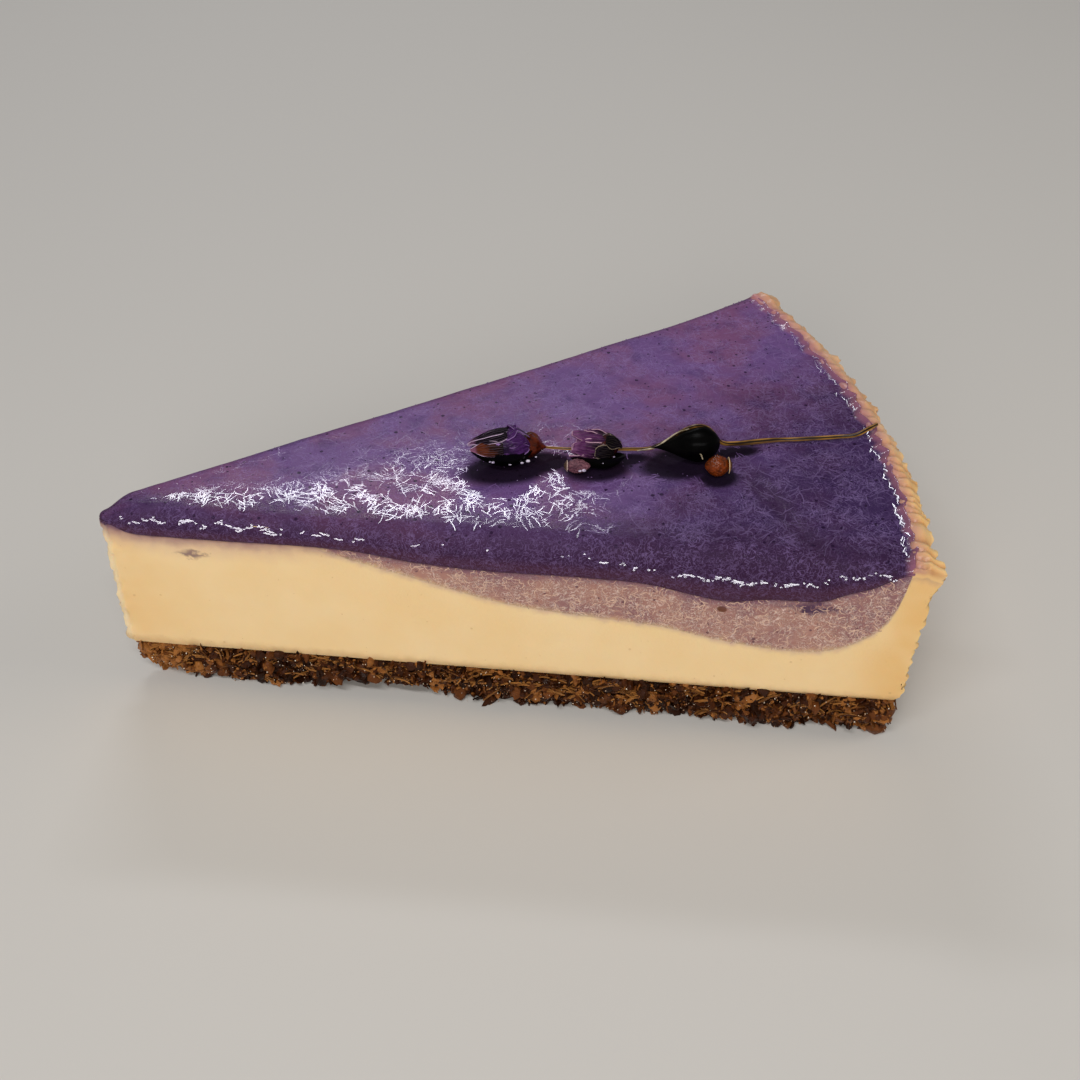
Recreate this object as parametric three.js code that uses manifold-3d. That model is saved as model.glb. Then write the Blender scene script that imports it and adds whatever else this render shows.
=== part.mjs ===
// One slice of lavender mastic cheesecake: a crumb base, a pale cream filling that stands up as a
// rim along the outer wall, a mauve lavender layer lying in a hollow of the filling, a glossy
// lavender glaze that laps over the cut edges, and a dried lavender sprig lying on top.
//
// Millimetres, +Z up. The slice stands on z = 0. Its tip points along -X and its centreline is the
// X axis, with the origin midway between the tip and the outer wall. Most functions below work in
// the slice's own polar frame, whose pole is the centre of the whole cake.

import * as THREE from "three";
import { mergeVertices } from "three/addons/utils/BufferGeometryUtils.js";
import Module from "manifold-3d";

const wasm = await Module();
wasm.setup();

const { smoothstep, lerp, clamp, degToRad } = THREE.MathUtils;

// Driving dimensions
const SLICE_RADIUS = 115;
const HALF_WEDGE = degToRad(18);
const NOSE_SETBACK = 3.4;
const CRUST_HEIGHT = 7.2;
const GLAZE_TOP = 30.9;
const GLAZE_THICKNESS = 0.9;
const GLAZE_PROUD = 0.4;
const TIP_DROOP = 1.1;
const CROWN = 0.3;
const RIM_RIDGE = 0.35;
const RIM_TOP = 31.0;
const RIM_WIDTH = 2.8;
const WALL_LEAN = 1.5;
const GAP = 0.3;
const STEM_RADIUS = 0.4;

// What follows from them
const RIM_INNER = SLICE_RADIUS - RIM_WIDTH;
const NOSE_RADIUS = NOSE_SETBACK / (1 / Math.sin(HALF_WEDGE) - 1);
const NOSE_START = NOSE_RADIUS / Math.tan(HALF_WEDGE);
const NOSE_BULGE = NOSE_START * Math.cos(HALF_WEDGE) - NOSE_SETBACK;
const SLICE_MIDDLE = (NOSE_SETBACK + SLICE_RADIUS) / 2;
const FILLING_BOTTOM = CRUST_HEIGHT + GAP / 2;

// Lower edge of the glaze on the near and far cut faces: distance from the pole, height
const NEAR_GLAZE_EDGE = [
  [4, 27.8], [18, 27.5], [32, 27.7], [39, 27.4], [46, 26.4], [54, 25.8], [70, 25.9],
  [78, 25.6], [88, 23.7], [94, 24.5], [101, 24.9], [105, 27.0], [109, 28.4], [112, 28.7],
];
const FAR_GLAZE_EDGE = [
  [4, 27.8], [20, 27.0], [34, 27.6], [48, 26.2], [60, 26.6], [73, 25.4], [86, 26.3],
  [97, 25.5], [106, 27.6], [109, 28.4], [112, 28.7],
];

// Surface of the filling's hollow, in which the lavender layer lies
const HOLLOW = [
  [22, 33.0], [28, 29.6], [33, 27.2], [38, 25.4], [49, 22.3], [58, 20.1], [68, 19.2], [80, 18.4],
  [88, 16.6], [97, 15.3], [102.5, 15.7], [107, 17.9], [110, 21.2], [111.4, 25.6], [112.05, 32.0],
];

// A smooth curve through points of increasing x, read at x
function through(points, x) {
  const last = points.length - 1;
  if (x <= points[0][0]) return points[0][1];
  if (x >= points[last][0]) return points[last][1];
  const i = points.findIndex((p) => p[0] > x) - 1;
  const slope = (k) => {
    const a = points[Math.max(k - 1, 0)];
    const b = points[Math.min(k + 1, last)];
    return (b[1] - a[1]) / (b[0] - a[0]);
  };
  const [[x0, y0], [x1, y1]] = [points[i], points[i + 1]];
  const width = x1 - x0;
  const t = (x - x0) / width;
  const ease = t * t * (3 - 2 * t);
  const bow = slope(i) * (1 - t) - slope(i + 1) * t;
  return lerp(y0, y1, ease) + width * t * (1 - t) * bow;
}

// Numbers from 0 to 1, the same on every run
function seeded(seed) {
  let state = seed;
  return () => {
    state = (state + 0x6d2b79f5) | 0;
    let t = Math.imul(state ^ (state >>> 15), 1 | state);
    t = (t + Math.imul(t ^ (t >>> 7), 61 | t)) ^ t;
    return ((t ^ (t >>> 14)) >>> 0) / 4294967296;
  };
}

// A lumpy value from -1 to 1 over space, with lumps about as wide as size
function lumps(x, y, z, size) {
  const k = Math.PI / size;
  const a = Math.sin(k * (x + 0.37 * y) + 1.7 * Math.sin(0.61 * k * z + 0.4));
  const b = Math.sin(k * (y - 0.29 * z) + 1.3 * Math.sin(0.83 * k * x + 2.1));
  const c = Math.sin(k * (0.91 * z + 0.23 * x) + 1.1 * Math.sin(0.71 * k * y + 4.2));
  return (a + b + c) / 3;
}

// Half the slice's width at a distance from the pole
const halfWidth = (radius) => radius * Math.sin(HALF_WEDGE);

// A point of the slice seen from above. across runs from -1 on the near cut face to 1 on the far
// one, and inset moves the cut faces and the nose in. Rows are arcs round the pole, except near the
// tip, where they bow the other way and make the rounded nose.
function plan(radius, across, inset = 0) {
  const width = halfWidth(radius) - Math.min(inset / Math.cos(HALF_WEDGE), 0.7 * halfWidth(radius));
  const y = width * across;
  const arc = Math.sqrt(radius * radius - y * y);
  const nose = 1 - smoothstep(radius, NOSE_START, NOSE_START + 8);
  const bow = radius * Math.cos(HALF_WEDGE) - NOSE_BULGE * (1 - across * across) + nose * inset;
  return [lerp(bow, arc, smoothstep(radius, NOSE_START, 30)), y];
}

// Height of the glaze's top surface, which droops at the tip and towards the cut edges, and swells
// a little here and there
function glazeTop(radius, across) {
  const droop = TIP_DROOP * (1 - smoothstep(radius, NOSE_SETBACK, 15)) ** 2;
  const crown = CROWN * across * across;
  const swell = 0.12 * Math.sin(0.21 * radius + 1.3) * Math.cos(2.6 * across + 0.5);
  return GLAZE_TOP - droop - crown + swell;
}

// Height of the glaze's lower edge at the cut faces and round the tip
function glazeEdge(radius, across) {
  const far = smoothstep(across, -1, 1);
  return lerp(through(NEAR_GLAZE_EDGE, radius), through(FAR_GLAZE_EDGE, radius), far);
}

// The rounded shoulder between the top and a cut face, as one step of an elliptic quarter turn.
// turn runs from 0 on the cut face to 1 on top, and depth is how far in from the outer surface.
function shoulder(radius, across, turn, depth) {
  const fall = glazeTop(radius, across) - glazeEdge(radius, across);
  const wide = Math.min(1.3 + 0.3 * fall, 0.6 * halfWidth(radius));
  const angle = (turn * Math.PI) / 2;
  const inset = wide - (wide + GLAZE_PROUD - depth) * Math.cos(angle);
  const height = glazeTop(radius, across) - 0.75 * fall + (0.75 * fall - depth) * Math.sin(angle);
  return { inset, height };
}

// A closed solid on a grid of radii and acrosses. The first and last levels are whole surfaces, or
// only their border where flat is true, and those between are rings round the border. Each level
// gives the point at a radius and an across. Points that meet are merged, and empty faces dropped.
function layered(radii, acrosses, levels, flat = { bottom: false, top: false }) {
  const positions = [];
  const known = new Map();
  const point = (level, i, j) => {
    const p = level(radii[i], acrosses[j], i, j);
    const key = p.map((v) => Math.round(v * 1e4)).join();
    if (!known.has(key)) {
      known.set(key, positions.length / 3);
      positions.push(...p);
    }
    return known.get(key);
  };
  const rows = radii.length - 1;
  const columns = acrosses.length - 1;
  const faces = [];
  const face = (a, b, c) => {
    if (a !== b && b !== c && c !== a) faces.push(a, b, c);
  };
  const quad = (a, b, c, d) => {
    face(a, b, c);
    face(a, c, d);
  };
  const surface = (level, up, borderOnly) => {
    const add = up ? quad : (a, b, c, d) => quad(d, c, b, a);
    const at = (i, j) => point(level, i, j);
    if (!borderOnly) {
      for (let i = 0; i < rows; i++)
        for (let j = 0; j < columns; j++) add(at(i, j), at(i + 1, j), at(i + 1, j + 1), at(i, j + 1));
      return;
    }
    for (let i = 0; i < rows; i++) add(at(i, 0), at(i + 1, 0), at(i + 1, columns), at(i, columns));
    for (const [i, outward] of [[0, !up], [rows, up]])
      for (let j = 1; j < columns; j++) {
        const [a, b, c] = [at(i, 0), at(i, j), at(i, j + 1)];
        if (outward) face(a, b, c);
        else face(a, c, b);
      }
  };
  const border = [];
  for (let i = 0; i < rows; i++) border.push([i, 0]);
  for (let j = 0; j < columns; j++) border.push([rows, j]);
  for (let i = rows; i > 0; i--) border.push([i, columns]);
  for (let j = columns; j > 0; j--) border.push([0, j]);
  surface(levels[0], false, flat.bottom);
  for (let k = 0; k + 1 < levels.length; k++)
    border.forEach(([i, j], n) => {
      const [i2, j2] = border[(n + 1) % border.length];
      const low = [point(levels[k], i, j), point(levels[k], i2, j2)];
      const high = [point(levels[k + 1], i, j), point(levels[k + 1], i2, j2)];
      quad(low[0], low[1], high[1], high[0]);
    });
  surface(levels[levels.length - 1], true, flat.top);
  const geometry = new THREE.BufferGeometry();
  geometry.setAttribute("position", new THREE.Float32BufferAttribute(positions, 3));
  geometry.setIndex(faces);
  return geometry;
}

// Between three.js geometry and solids that can be joined and cut
function solidOf(geometry) {
  const bare = geometry.clone();
  for (const name of ["normal", "uv"]) bare.deleteAttribute(name);
  const merged = mergeVertices(bare, 1e-4);
  const vertProperties = new Float32Array(merged.attributes.position.array);
  const triVerts = new Uint32Array(merged.index.array);
  return new wasm.Manifold(new wasm.Mesh({ numProp: 3, vertProperties, triVerts }));
}

function geometryOf(solid) {
  const { vertProperties, triVerts } = solid.getMesh();
  const geometry = new THREE.BufferGeometry();
  geometry.setAttribute("position", new THREE.BufferAttribute(vertProperties, 3));
  geometry.setIndex(new THREE.BufferAttribute(triVerts, 1));
  return geometry;
}

// The largest connected body of a solid, without loose scraps
function mainBody(solid) {
  return solid.decompose().reduce((a, b) => (b.volume() > a.volume() ? b : a));
}

// Evenly spaced numbers from a to b, both included
const steps = (a, b, count) => Array.from({ length: count + 1 }, (_, i) => lerp(a, b, i / count));

// Stations shared by the filling, the layer and the glaze
const INNER_RADII = [...steps(NOSE_START, 21, 4), ...steps(27, 102, 15), 105, 107.5, 109.5, 111];

// Filling: pale cream with a rounded shoulder under the glaze and a lumpy rim at the outer wall
function fillingBody() {
  const depth = GLAZE_THICKNESS + GAP;
  const rimFoot = RIM_INNER;
  const rimEdge = rimFoot + 0.35;
  const crestDrop = 0.5;
  const rimRadii = [rimFoot, rimEdge, rimFoot + 1.4, SLICE_RADIUS - 0.4, SLICE_RADIUS];
  const underGlaze = (radius) => 1 - smoothstep(radius, rimFoot, rimEdge);
  const crest = (radius, across) => {
    const [x, y] = plan(radius, across);
    const rounding = 0.55 * smoothstep(radius, SLICE_RADIUS - 1.4, SLICE_RADIUS);
    return RIM_TOP + 0.32 * lumps(x, y, 0, 2.3) + 0.14 * lumps(x, y, 9, 1.1) - rounding;
  };
  const topHeight = (radius, across) => {
    return lerp(crest(radius, across), glazeTop(radius, across) - depth, underGlaze(radius));
  };
  // Outer wall: leans in towards its foot, and is rough where it left the baking ring
  const place = (radius, across, inset, height) => {
    const [x, y] = plan(radius, across, inset);
    const share = clamp((RIM_TOP - height) / (RIM_TOP - FILLING_BOTTOM), 0, 1);
    const nearWall = smoothstep(radius, SLICE_RADIUS - 11, SLICE_RADIUS);
    const heel = 0.9 * smoothstep(share, 0.9, 1) ** 2;
    const rough = 0.42 * lumps(x, y, height, 1.9) + 0.2 * lumps(y, height, x, 1.0);
    const drawnIn = nearWall * (WALL_LEAN * share + heel) - (radius >= SLICE_RADIUS ? rough : 0);
    const turn = HALF_WEDGE * across;
    return [x - drawnIn * Math.cos(turn), y - drawnIn * Math.sin(turn), height];
  };
  const wall = (share) => (radius, across) => {
    const rim = topHeight(radius, across) - crestDrop;
    const top = lerp(rim, glazeEdge(radius, across) - GAP, underGlaze(radius));
    return place(radius, across, 0, lerp(FILLING_BOTTOM, top, share));
  };
  const ledge = (radius, across) => {
    const inset = shoulder(radius, across, 0, depth).inset * underGlaze(radius);
    const rim = topHeight(radius, across) - crestDrop;
    const under = glazeEdge(radius, across) - GAP + 0.05;
    return place(radius, across, inset, lerp(rim, under, underGlaze(radius)));
  };
  const side = (turn) => (radius, across) => {
    const { inset, height } = shoulder(radius, across, turn, depth);
    const rim = topHeight(radius, across) - crestDrop * (1 - 0.8 * turn);
    return place(radius, across, inset * underGlaze(radius), lerp(rim, height, underGlaze(radius)));
  };
  const top = (radius, across) => {
    const { inset } = shoulder(radius, across, 1, depth);
    return place(radius, across, inset * underGlaze(radius), topHeight(radius, across));
  };
  const levels = [...[0, 0.22, 0.46, 0.7, 0.88, 1].map(wall), ledge, side(0), side(0.5), top];
  const border = { bottom: true, top: false };
  return solidOf(layered([...INNER_RADII, ...rimRadii], steps(-1, 1, 16), levels, border));
}

// Everything above the hollow's surface, moved off it by a distance
function aboveHollow(distance) {
  const spread = -6;
  const radii = HOLLOW.flatMap(([radius], i) => {
    const next = HOLLOW[i + 1];
    return next ? [radius, (radius + next[0]) / 2] : [radius];
  });
  const moved = (radius) => {
    const slope = (through(HOLLOW, radius + 0.05) - through(HOLLOW, radius - 0.05)) / 0.1;
    const share = distance / Math.hypot(1, slope);
    return [radius - slope * share, through(HOLLOW, radius) + share];
  };
  const lower = (radius, across) => {
    const [at, height] = moved(radius);
    const wave = 0.35 * Math.sin(0.09 * radius + 2.2 * across);
    return [...plan(at, across, spread), height + wave];
  };
  const upper = (radius, across) => [...plan(moved(radius)[0], across, spread), 45];
  return solidOf(layered(radii, steps(-1, 1, 6), [lower, upper], { bottom: false, top: true }));
}

// Glaze: a skin over the top that turns over the cut edges, ends there in a wavy lip, and climbs to
// a small ridge where it meets the rim
function glaze() {
  const acrosses = steps(-1, 1, 10);
  const side = (turn, depth) => (radius, across) => {
    const { inset, height } = shoulder(radius, across, turn, depth);
    const ridge = depth > 0 ? 0 : RIM_RIDGE * turn * smoothstep(radius, 108, 111);
    return [...plan(radius, across, inset), height + ridge];
  };
  const lip = (inset, rise) => (radius, across) => {
    return [...plan(radius, across, inset), glazeEdge(radius, across) + rise];
  };
  const foot = (radius, across) => [...plan(radius, across, GLAZE_THICKNESS - GLAZE_PROUD), 12];
  const outside = [lip(0, 0), lip(-GLAZE_PROUD, 0.35), side(0, 0), side(0.5, 0), side(1, 0)];
  const inside = [foot, side(0, GLAZE_THICKNESS), side(0.5, GLAZE_THICKNESS), side(1, GLAZE_THICKNESS)];
  const border = { bottom: true, top: false };
  const whole = layered([...INNER_RADII, RIM_INNER - GAP], acrosses, outside, border);
  const within = layered([...INNER_RADII, RIM_INNER - GAP, RIM_INNER + 2], acrosses, inside, border);
  return geometryOf(mainBody(solidOf(whole).subtract(solidOf(within))));
}

// A crumb: a knobbly lump with about 20 faces
function crumb(random, size) {
  const ball = new THREE.IcosahedronGeometry(size, 0);
  const lump = mergeVertices(ball.deleteAttribute("normal").deleteAttribute("uv"), 1e-3);
  const position = lump.attributes.position;
  for (let i = 0; i < position.count; i++) {
    const grow = 0.72 + 0.5 * random();
    position.setXYZ(i, position.getX(i) * grow, position.getY(i) * grow, position.getZ(i) * grow);
  }
  lump.scale(0.85 + 0.4 * random(), 0.75 + 0.4 * random(), 0.6 + 0.35 * random());
  lump.rotateX(6 * random()).rotateY(6 * random()).rotateZ(6 * random());
  return lump;
}

// Crumb base: pressed biscuit, ragged at its walls, worn away under the tip, flat underneath
function crumbBase() {
  const random = seeded(17);
  const top = CRUST_HEIGHT - GAP / 2;
  const [start, end] = [6.2, SLICE_RADIUS - WALL_LEAN - 0.9];
  const core = (height, wear) => (radius, across) => {
    const [x, y] = plan(radius, across);
    const rag = 0.55 * lumps(x, y, height, 2.6) + 0.3 * lumps(y, x, height, 1.3);
    const worn = wear * (0.8 + 0.5 * lumps(x, y, 3, 9)) + 0.5 - rag;
    const atTip = 1 - smoothstep(radius, start, start + 10);
    const atWall = smoothstep(radius, end - 4, end);
    const [px, py] = plan(radius, across, worn);
    return [px + 2.2 * wear * atTip - worn * atWall, py, height];
  };
  const levels = [core(0, 1.5), core(1.4, 0.7), core(3.4, 0.1), core(top, 0.2)];
  const base = layered(steps(start, end, 32), steps(-1, 1, 16), levels, { bottom: true, top: true });
  const pieces = [solidOf(base)];
  const near = (share) => [lerp(9, 111, share), -1];
  const far = (share) => [lerp(9, 111, share), 1];
  const wall = (share) => [end, lerp(-0.97, 0.97, share)];
  const tip = (share) => [start + 2.5, lerp(-1, 1, share)];
  for (const [route, count] of [[near, 38], [far, 25], [wall, 19], [tip, 3]])
    for (let n = 0; n < count; n++) {
      const [radius, across] = route((n + 0.2 + 0.6 * random()) / count);
      const [x, y] = plan(radius, across, 0.6);
      const height = lerp(1.0, top - 0.7, random());
      pieces.push(solidOf(crumb(random, lerp(1.0, 1.8, random())).translate(x, y, height)));
    }
  const slab = new THREE.BoxGeometry(400, 400, top).translate(0, 0, top / 2);
  return geometryOf(mainBody(wasm.Manifold.union(pieces).intersect(solidOf(slab))));
}

// A closed shape turned about its own X axis, from x = 0 to its length. reach gives its radius
// from the share of the length and the angle.
function turned(length, rings, sides, reach) {
  const positions = [0, 0, 0, length, 0, 0];
  const index = [];
  const id = (ring, side) => 2 + (ring - 1) * sides + (side % sides);
  for (let ring = 1; ring < rings; ring++)
    for (let side = 0; side < sides; side++) {
      const share = 0.5 - 0.5 * Math.cos((Math.PI * ring) / rings);
      const angle = (2 * Math.PI * side) / sides;
      const radius = reach(share, angle);
      positions.push(length * share, radius * Math.cos(angle), radius * Math.sin(angle));
    }
  for (let side = 0; side < sides; side++) {
    index.push(0, id(1, side + 1), id(1, side));
    index.push(1, id(rings - 1, side), id(rings - 1, side + 1));
    for (let ring = 1; ring < rings - 1; ring++) {
      index.push(id(ring, side), id(ring, side + 1), id(ring + 1, side + 1));
      index.push(id(ring, side), id(ring + 1, side + 1), id(ring + 1, side));
    }
  }
  const geometry = new THREE.BufferGeometry();
  geometry.setAttribute("position", new THREE.Float32BufferAttribute(positions, 3));
  return geometry.setIndex(index);
}

// Height of the glaze under a point of the top
const surfaceAt = (x, y) => glazeTop(Math.hypot(x, y), Math.atan2(y, x) / HALF_WEDGE);

// Sprig: where each piece lies, seen from above, with the direction its tip points
const STEM_ROUTE = [
  [64.3, -0.85, 1.1], [66.1, -0.75, 0.6], [69.3, -1.3, 0.35], [76.8, -2.8, 0.35], [79.6, -3.6, 0.7],
  [82, -4.45, 2.4], [83.8, -4.9, 4.0], [85.5, -5.2, 4.75], [86.9, -5.5, 4.5], [88.1, -5.6, 3.2],
  [89.3, -5.2, 1.4], [91, -4.8, 0.6], [97.2, -4.8, 0.35], [101, -5.3, 0.35], [106.4, -5.8, 0.35],
  [109, -6.2, 0.6], [110.8, -5.9, 0.8], [112.6, -4.9, 0.7],
];

function stemPath() {
  const points = STEM_ROUTE.map(([x, y, lift]) => {
    const ground = Math.max(surfaceAt(x, y), x > RIM_INNER - 1.5 ? RIM_TOP + 0.3 : 0);
    return new THREE.Vector3(x, y, ground + STEM_RADIUS + lift);
  });
  return new THREE.CatmullRomCurve3(points);
}

// A bar of a given radius along the stem's route
function alongStem(radius, sides) {
  const angles = steps(0, 2 * Math.PI, sides).slice(1);
  const corners = angles.map((a) => new THREE.Vector2(radius * Math.cos(a), radius * Math.sin(a)));
  const section = new THREE.Shape(corners);
  const settings = { steps: 36, extrudePath: stemPath(), bevelEnabled: false };
  return new THREE.ExtrudeGeometry(section, settings);
}

// What is taken out of the pieces that the stem runs into or through
function stemRoom() {
  const radius = STEM_RADIUS + GAP + 0.05;
  const start = stemPath().getPoint(0);
  const end = new THREE.IcosahedronGeometry(1.25 * radius, 0).translate(start.x, start.y, start.z);
  return solidOf(alongStem(radius, 6)).add(solidOf(end));
}

// Puts a shape on the glaze: its start at x, y, its length along heading, its nose raised by pitch
function laid(geometry, { x, y, heading, pitch = 0, roll = 0, lift }) {
  geometry.rotateX(degToRad(roll)).rotateY(-degToRad(pitch)).rotateZ(degToRad(heading));
  return geometry.translate(x, y, surfaceAt(x, y) + lift);
}

// Radius of a bud that swells from a pointed start to a rounded end
const swelling = (share, widest) => {
  const t = share < widest ? (share / widest) * 0.5 : 0.5 + (0.5 * (share - widest)) / (1 - widest);
  return Math.sin(Math.PI * t) ** 0.75;
};

// The closed bud at the sprig's end: petals wrapped over each other in a spiral
function tipBud() {
  const petals = 5;
  return turned(8.6, 10, 18, (share, angle) => {
    const wrap = (((angle + 2.4 * share) / (2 * Math.PI)) * petals) % 1;
    const fold = 1 + 0.16 * (wrap - 0.5) * smoothstep(share, 0.08, 0.4);
    return 2.6 * swelling(share, 0.62) * fold;
  });
}

// The amber calyx that joins the closed bud to the stem, or the room round it
function calyx(room = 0) {
  return turned(4 + room, 7, 12, (share, angle) => {
    const ribs = 1 + 0.07 * Math.cos(6 * angle);
    const neck = 1 - 0.45 * smoothstep(share, 0.55, 1);
    return 1.75 * swelling(share, 0.36) * ribs * neck + room;
  }).translate(-room / 2, 0, 0);
}

// One petal: a thin lobe, cupped along its length
function petal(length, width, cup) {
  const sheet = turned(length, 6, 8, (share, angle) => {
    const lobe = Math.sin(Math.PI * Math.min(share * 0.92 + 0.06, 1)) ** 0.6;
    const flat = Math.hypot(Math.cos(angle), 0.24 * Math.sin(angle));
    return (width / 2) * lobe * (0.3 * Math.abs(Math.sin(angle)) + 0.7 * flat);
  });
  const position = sheet.attributes.position;
  for (let i = 0; i < position.count; i++) {
    const share = position.getX(i) / length;
    const bend = cup * (share * share - 0.35 * (position.getY(i) / (width / 2)) ** 2);
    position.setZ(i, position.getZ(i) + bend);
  }
  return sheet;
}

// The open flower: a dark calyx cup with petals spreading from its mouth
function openFlower() {
  const cup = turned(4.6, 7, 16, (share, angle) => {
    return 2.1 * swelling(share, 0.45) * (1 + 0.08 * Math.cos(8 * angle));
  });
  const pieces = [solidOf(cup.translate(-4.4, 0, 0))];
  const spread = [
    { turn: 20, open: 38, length: 3.9 }, { turn: 92, open: 40, length: 4.0 },
    { turn: 160, open: 38, length: 4.0 }, { turn: 228, open: 24, length: 2.8 },
    { turn: 308, open: 34, length: 3.4 }, { turn: 60, open: 12, length: 3.8 },
    { turn: 200, open: 14, length: 3.7 },
  ];
  for (const { turn, open, length } of spread) {
    const lobe = petal(length, 3.3, 0.9).translate(-0.8, 0, 0.5);
    lobe.rotateY(-degToRad(open)).rotateX(degToRad(turn));
    pieces.push(solidOf(lobe.translate(-1.0, 0, 0)));
  }
  const joined = mainBody(wasm.Manifold.union(pieces));
  return geometryOf(joined);
}

// The dark pod: a plump drop with a drawn-out tail and one long crease
function darkPod() {
  const widest = 0.68;
  return turned(9.7, 11, 16, (share, angle) => {
    const drawn = smoothstep(share, -0.05, widest) ** 1.15;
    const round = Math.sqrt(Math.max(1 - ((share - widest) / (1 - widest)) ** 2, 0));
    const body = share < widest ? drawn : round;
    const crease = 1 - 0.12 * Math.exp(-(((angle - 2.1) / 0.3) ** 2));
    return 2.45 * body * crease;
  });
}

// A small round bud with a knobbly skin
function smallBud(length, radius, knobs) {
  return turned(length, 8, 12, (share, angle) => {
    const rough = 1 + knobs * Math.sin(5 * angle + 9 * share) * Math.sin(11 * share + 2 * angle);
    return radius * Math.sin(Math.PI * share) ** 0.6 * rough;
  });
}

// Finishes
const finish = (color, roughness) => new THREE.MeshStandardMaterial({ color, roughness, metalness: 0 });
const crumbBrown = finish(0x6b4426, 0.8);
const cream = finish(0xecd2a0, 0.55);
const mauve = finish(0xb08a86, 0.55);
const lavender = finish(0x6f5083, 0.15);
const strawGold = finish(0x9a7431, 0.5);
const budPurple = finish(0x4a2c56, 0.45);
const amberBrown = finish(0x7a3a16, 0.35);
const darkOlive = finish(0x15140e, 0.3);
const duskyMauve = finish(0x6b4a58, 0.55);

const slice = new THREE.Group();
slice.name = "cheesecake_slice";
slice.position.x = -SLICE_MIDDLE;

function add(name, geometry, material) {
  geometry.computeVertexNormals();
  const mesh = new THREE.Mesh(geometry, material);
  mesh.name = name;
  slice.add(mesh);
}

const body = fillingBody();
add("crumb_base", crumbBase(), crumbBrown);
add("cream_filling", geometryOf(mainBody(body.subtract(aboveHollow(-GAP / 2)))), cream);
add("lavender_layer", geometryOf(mainBody(body.intersect(aboveHollow(GAP / 2)))), mauve);
add("lavender_glaze", glaze(), lavender);

// The sprig's pieces, each cut clear of the stem where the stem runs into or through it
const room = stemRoom();
const aroundStem = (geometry) => geometryOf(mainBody(solidOf(geometry).subtract(room)));
const calyxPlace = { x: 61.3, y: -0.75, heading: -6, pitch: -14, lift: 2.5 };
const tip = laid(tipBud(), { x: 54.4, y: -1.3, heading: -6, pitch: 1, lift: 2.9 });
const calyxRoom = laid(calyx(1.2 * GAP), calyxPlace);
add("sprig_stem", alongStem(STEM_RADIUS, 7), strawGold);
add("bud_tip", geometryOf(mainBody(solidOf(tip).subtract(solidOf(calyxRoom)))), budPurple);
add("bud_calyx", aroundStem(laid(calyx(), calyxPlace)), amberBrown);
const flower = laid(openFlower(), { x: 71.2, y: -3.5, heading: 158, pitch: 10, lift: 3.1 });
add("flower_open", aroundStem(flower), budPurple);
const middle = laid(smallBud(3.6, 0.95, 0.05), { x: 66.9, y: -5.0, heading: -11, lift: 1.2 });
add("bud_middle", aroundStem(middle), duskyMauve);
const pod = laid(darkPod(), { x: 79.3, y: -4.4, heading: -16, pitch: 9, lift: 1.75 });
add("pod_dark", aroundStem(pod), darkOlive);
const amber = laid(smallBud(3.6, 1.4, 0.05), { x: 85.6, y: -9.9, heading: -9, lift: 1.65 });
add("bud_amber", amber, amberBrown);

export default slice;
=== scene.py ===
"""Looks of one slice of lavender mastic cheesecake.

Shapes are worked out in millimetres in the slice's polar frame, whose pole is the centre of the
whole cake. The slice's centreline is the X axis. A place in plan is a distance from the pole and an
"across", which runs from -1 on the near cut face to 1 on the far one.
"""

import logging
import math
from collections.abc import Callable, Iterator, Sequence
from contextlib import contextmanager
from dataclasses import dataclass, field
from enum import Enum
from functools import cache

import bpy
import numpy as np
from mathutils import Euler, Matrix, Vector, noise


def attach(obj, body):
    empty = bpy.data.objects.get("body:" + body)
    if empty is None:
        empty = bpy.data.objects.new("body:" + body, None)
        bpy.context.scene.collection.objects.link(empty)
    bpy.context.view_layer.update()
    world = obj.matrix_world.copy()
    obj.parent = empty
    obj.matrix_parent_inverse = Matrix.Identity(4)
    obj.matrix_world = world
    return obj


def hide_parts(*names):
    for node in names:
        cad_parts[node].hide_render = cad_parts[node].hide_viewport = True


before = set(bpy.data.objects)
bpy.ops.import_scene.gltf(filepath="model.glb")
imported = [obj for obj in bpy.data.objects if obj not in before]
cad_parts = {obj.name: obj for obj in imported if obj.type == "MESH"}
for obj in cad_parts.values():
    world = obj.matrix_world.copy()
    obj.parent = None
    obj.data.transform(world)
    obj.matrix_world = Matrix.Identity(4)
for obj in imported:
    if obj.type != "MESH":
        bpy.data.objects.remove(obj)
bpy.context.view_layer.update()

MM = 0.001
LOG = logging.getLogger("cheesecake")

Rows = np.ndarray
Number = float | Rows
Form = Callable[[Rows, Rows], Rows]
Dice = np.random.Generator
Material = bpy.types.Material
Piece = bpy.types.Object
Spot = tuple[float, float, float]
Tint = tuple[float, float, float]


# Curves and grain


def ease(value: Number, low: float, high: float) -> Number:
    """Return a smooth step that is 0 at low and 1 at high."""
    share = np.clip((value - low) / (high - low), 0.0, 1.0)
    return share * share * (3.0 - 2.0 * share)


def blend(start: Number, end: Number, share: Number) -> Number:
    """Return the value a share of the way from start to end."""
    return start + (end - start) * share


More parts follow.
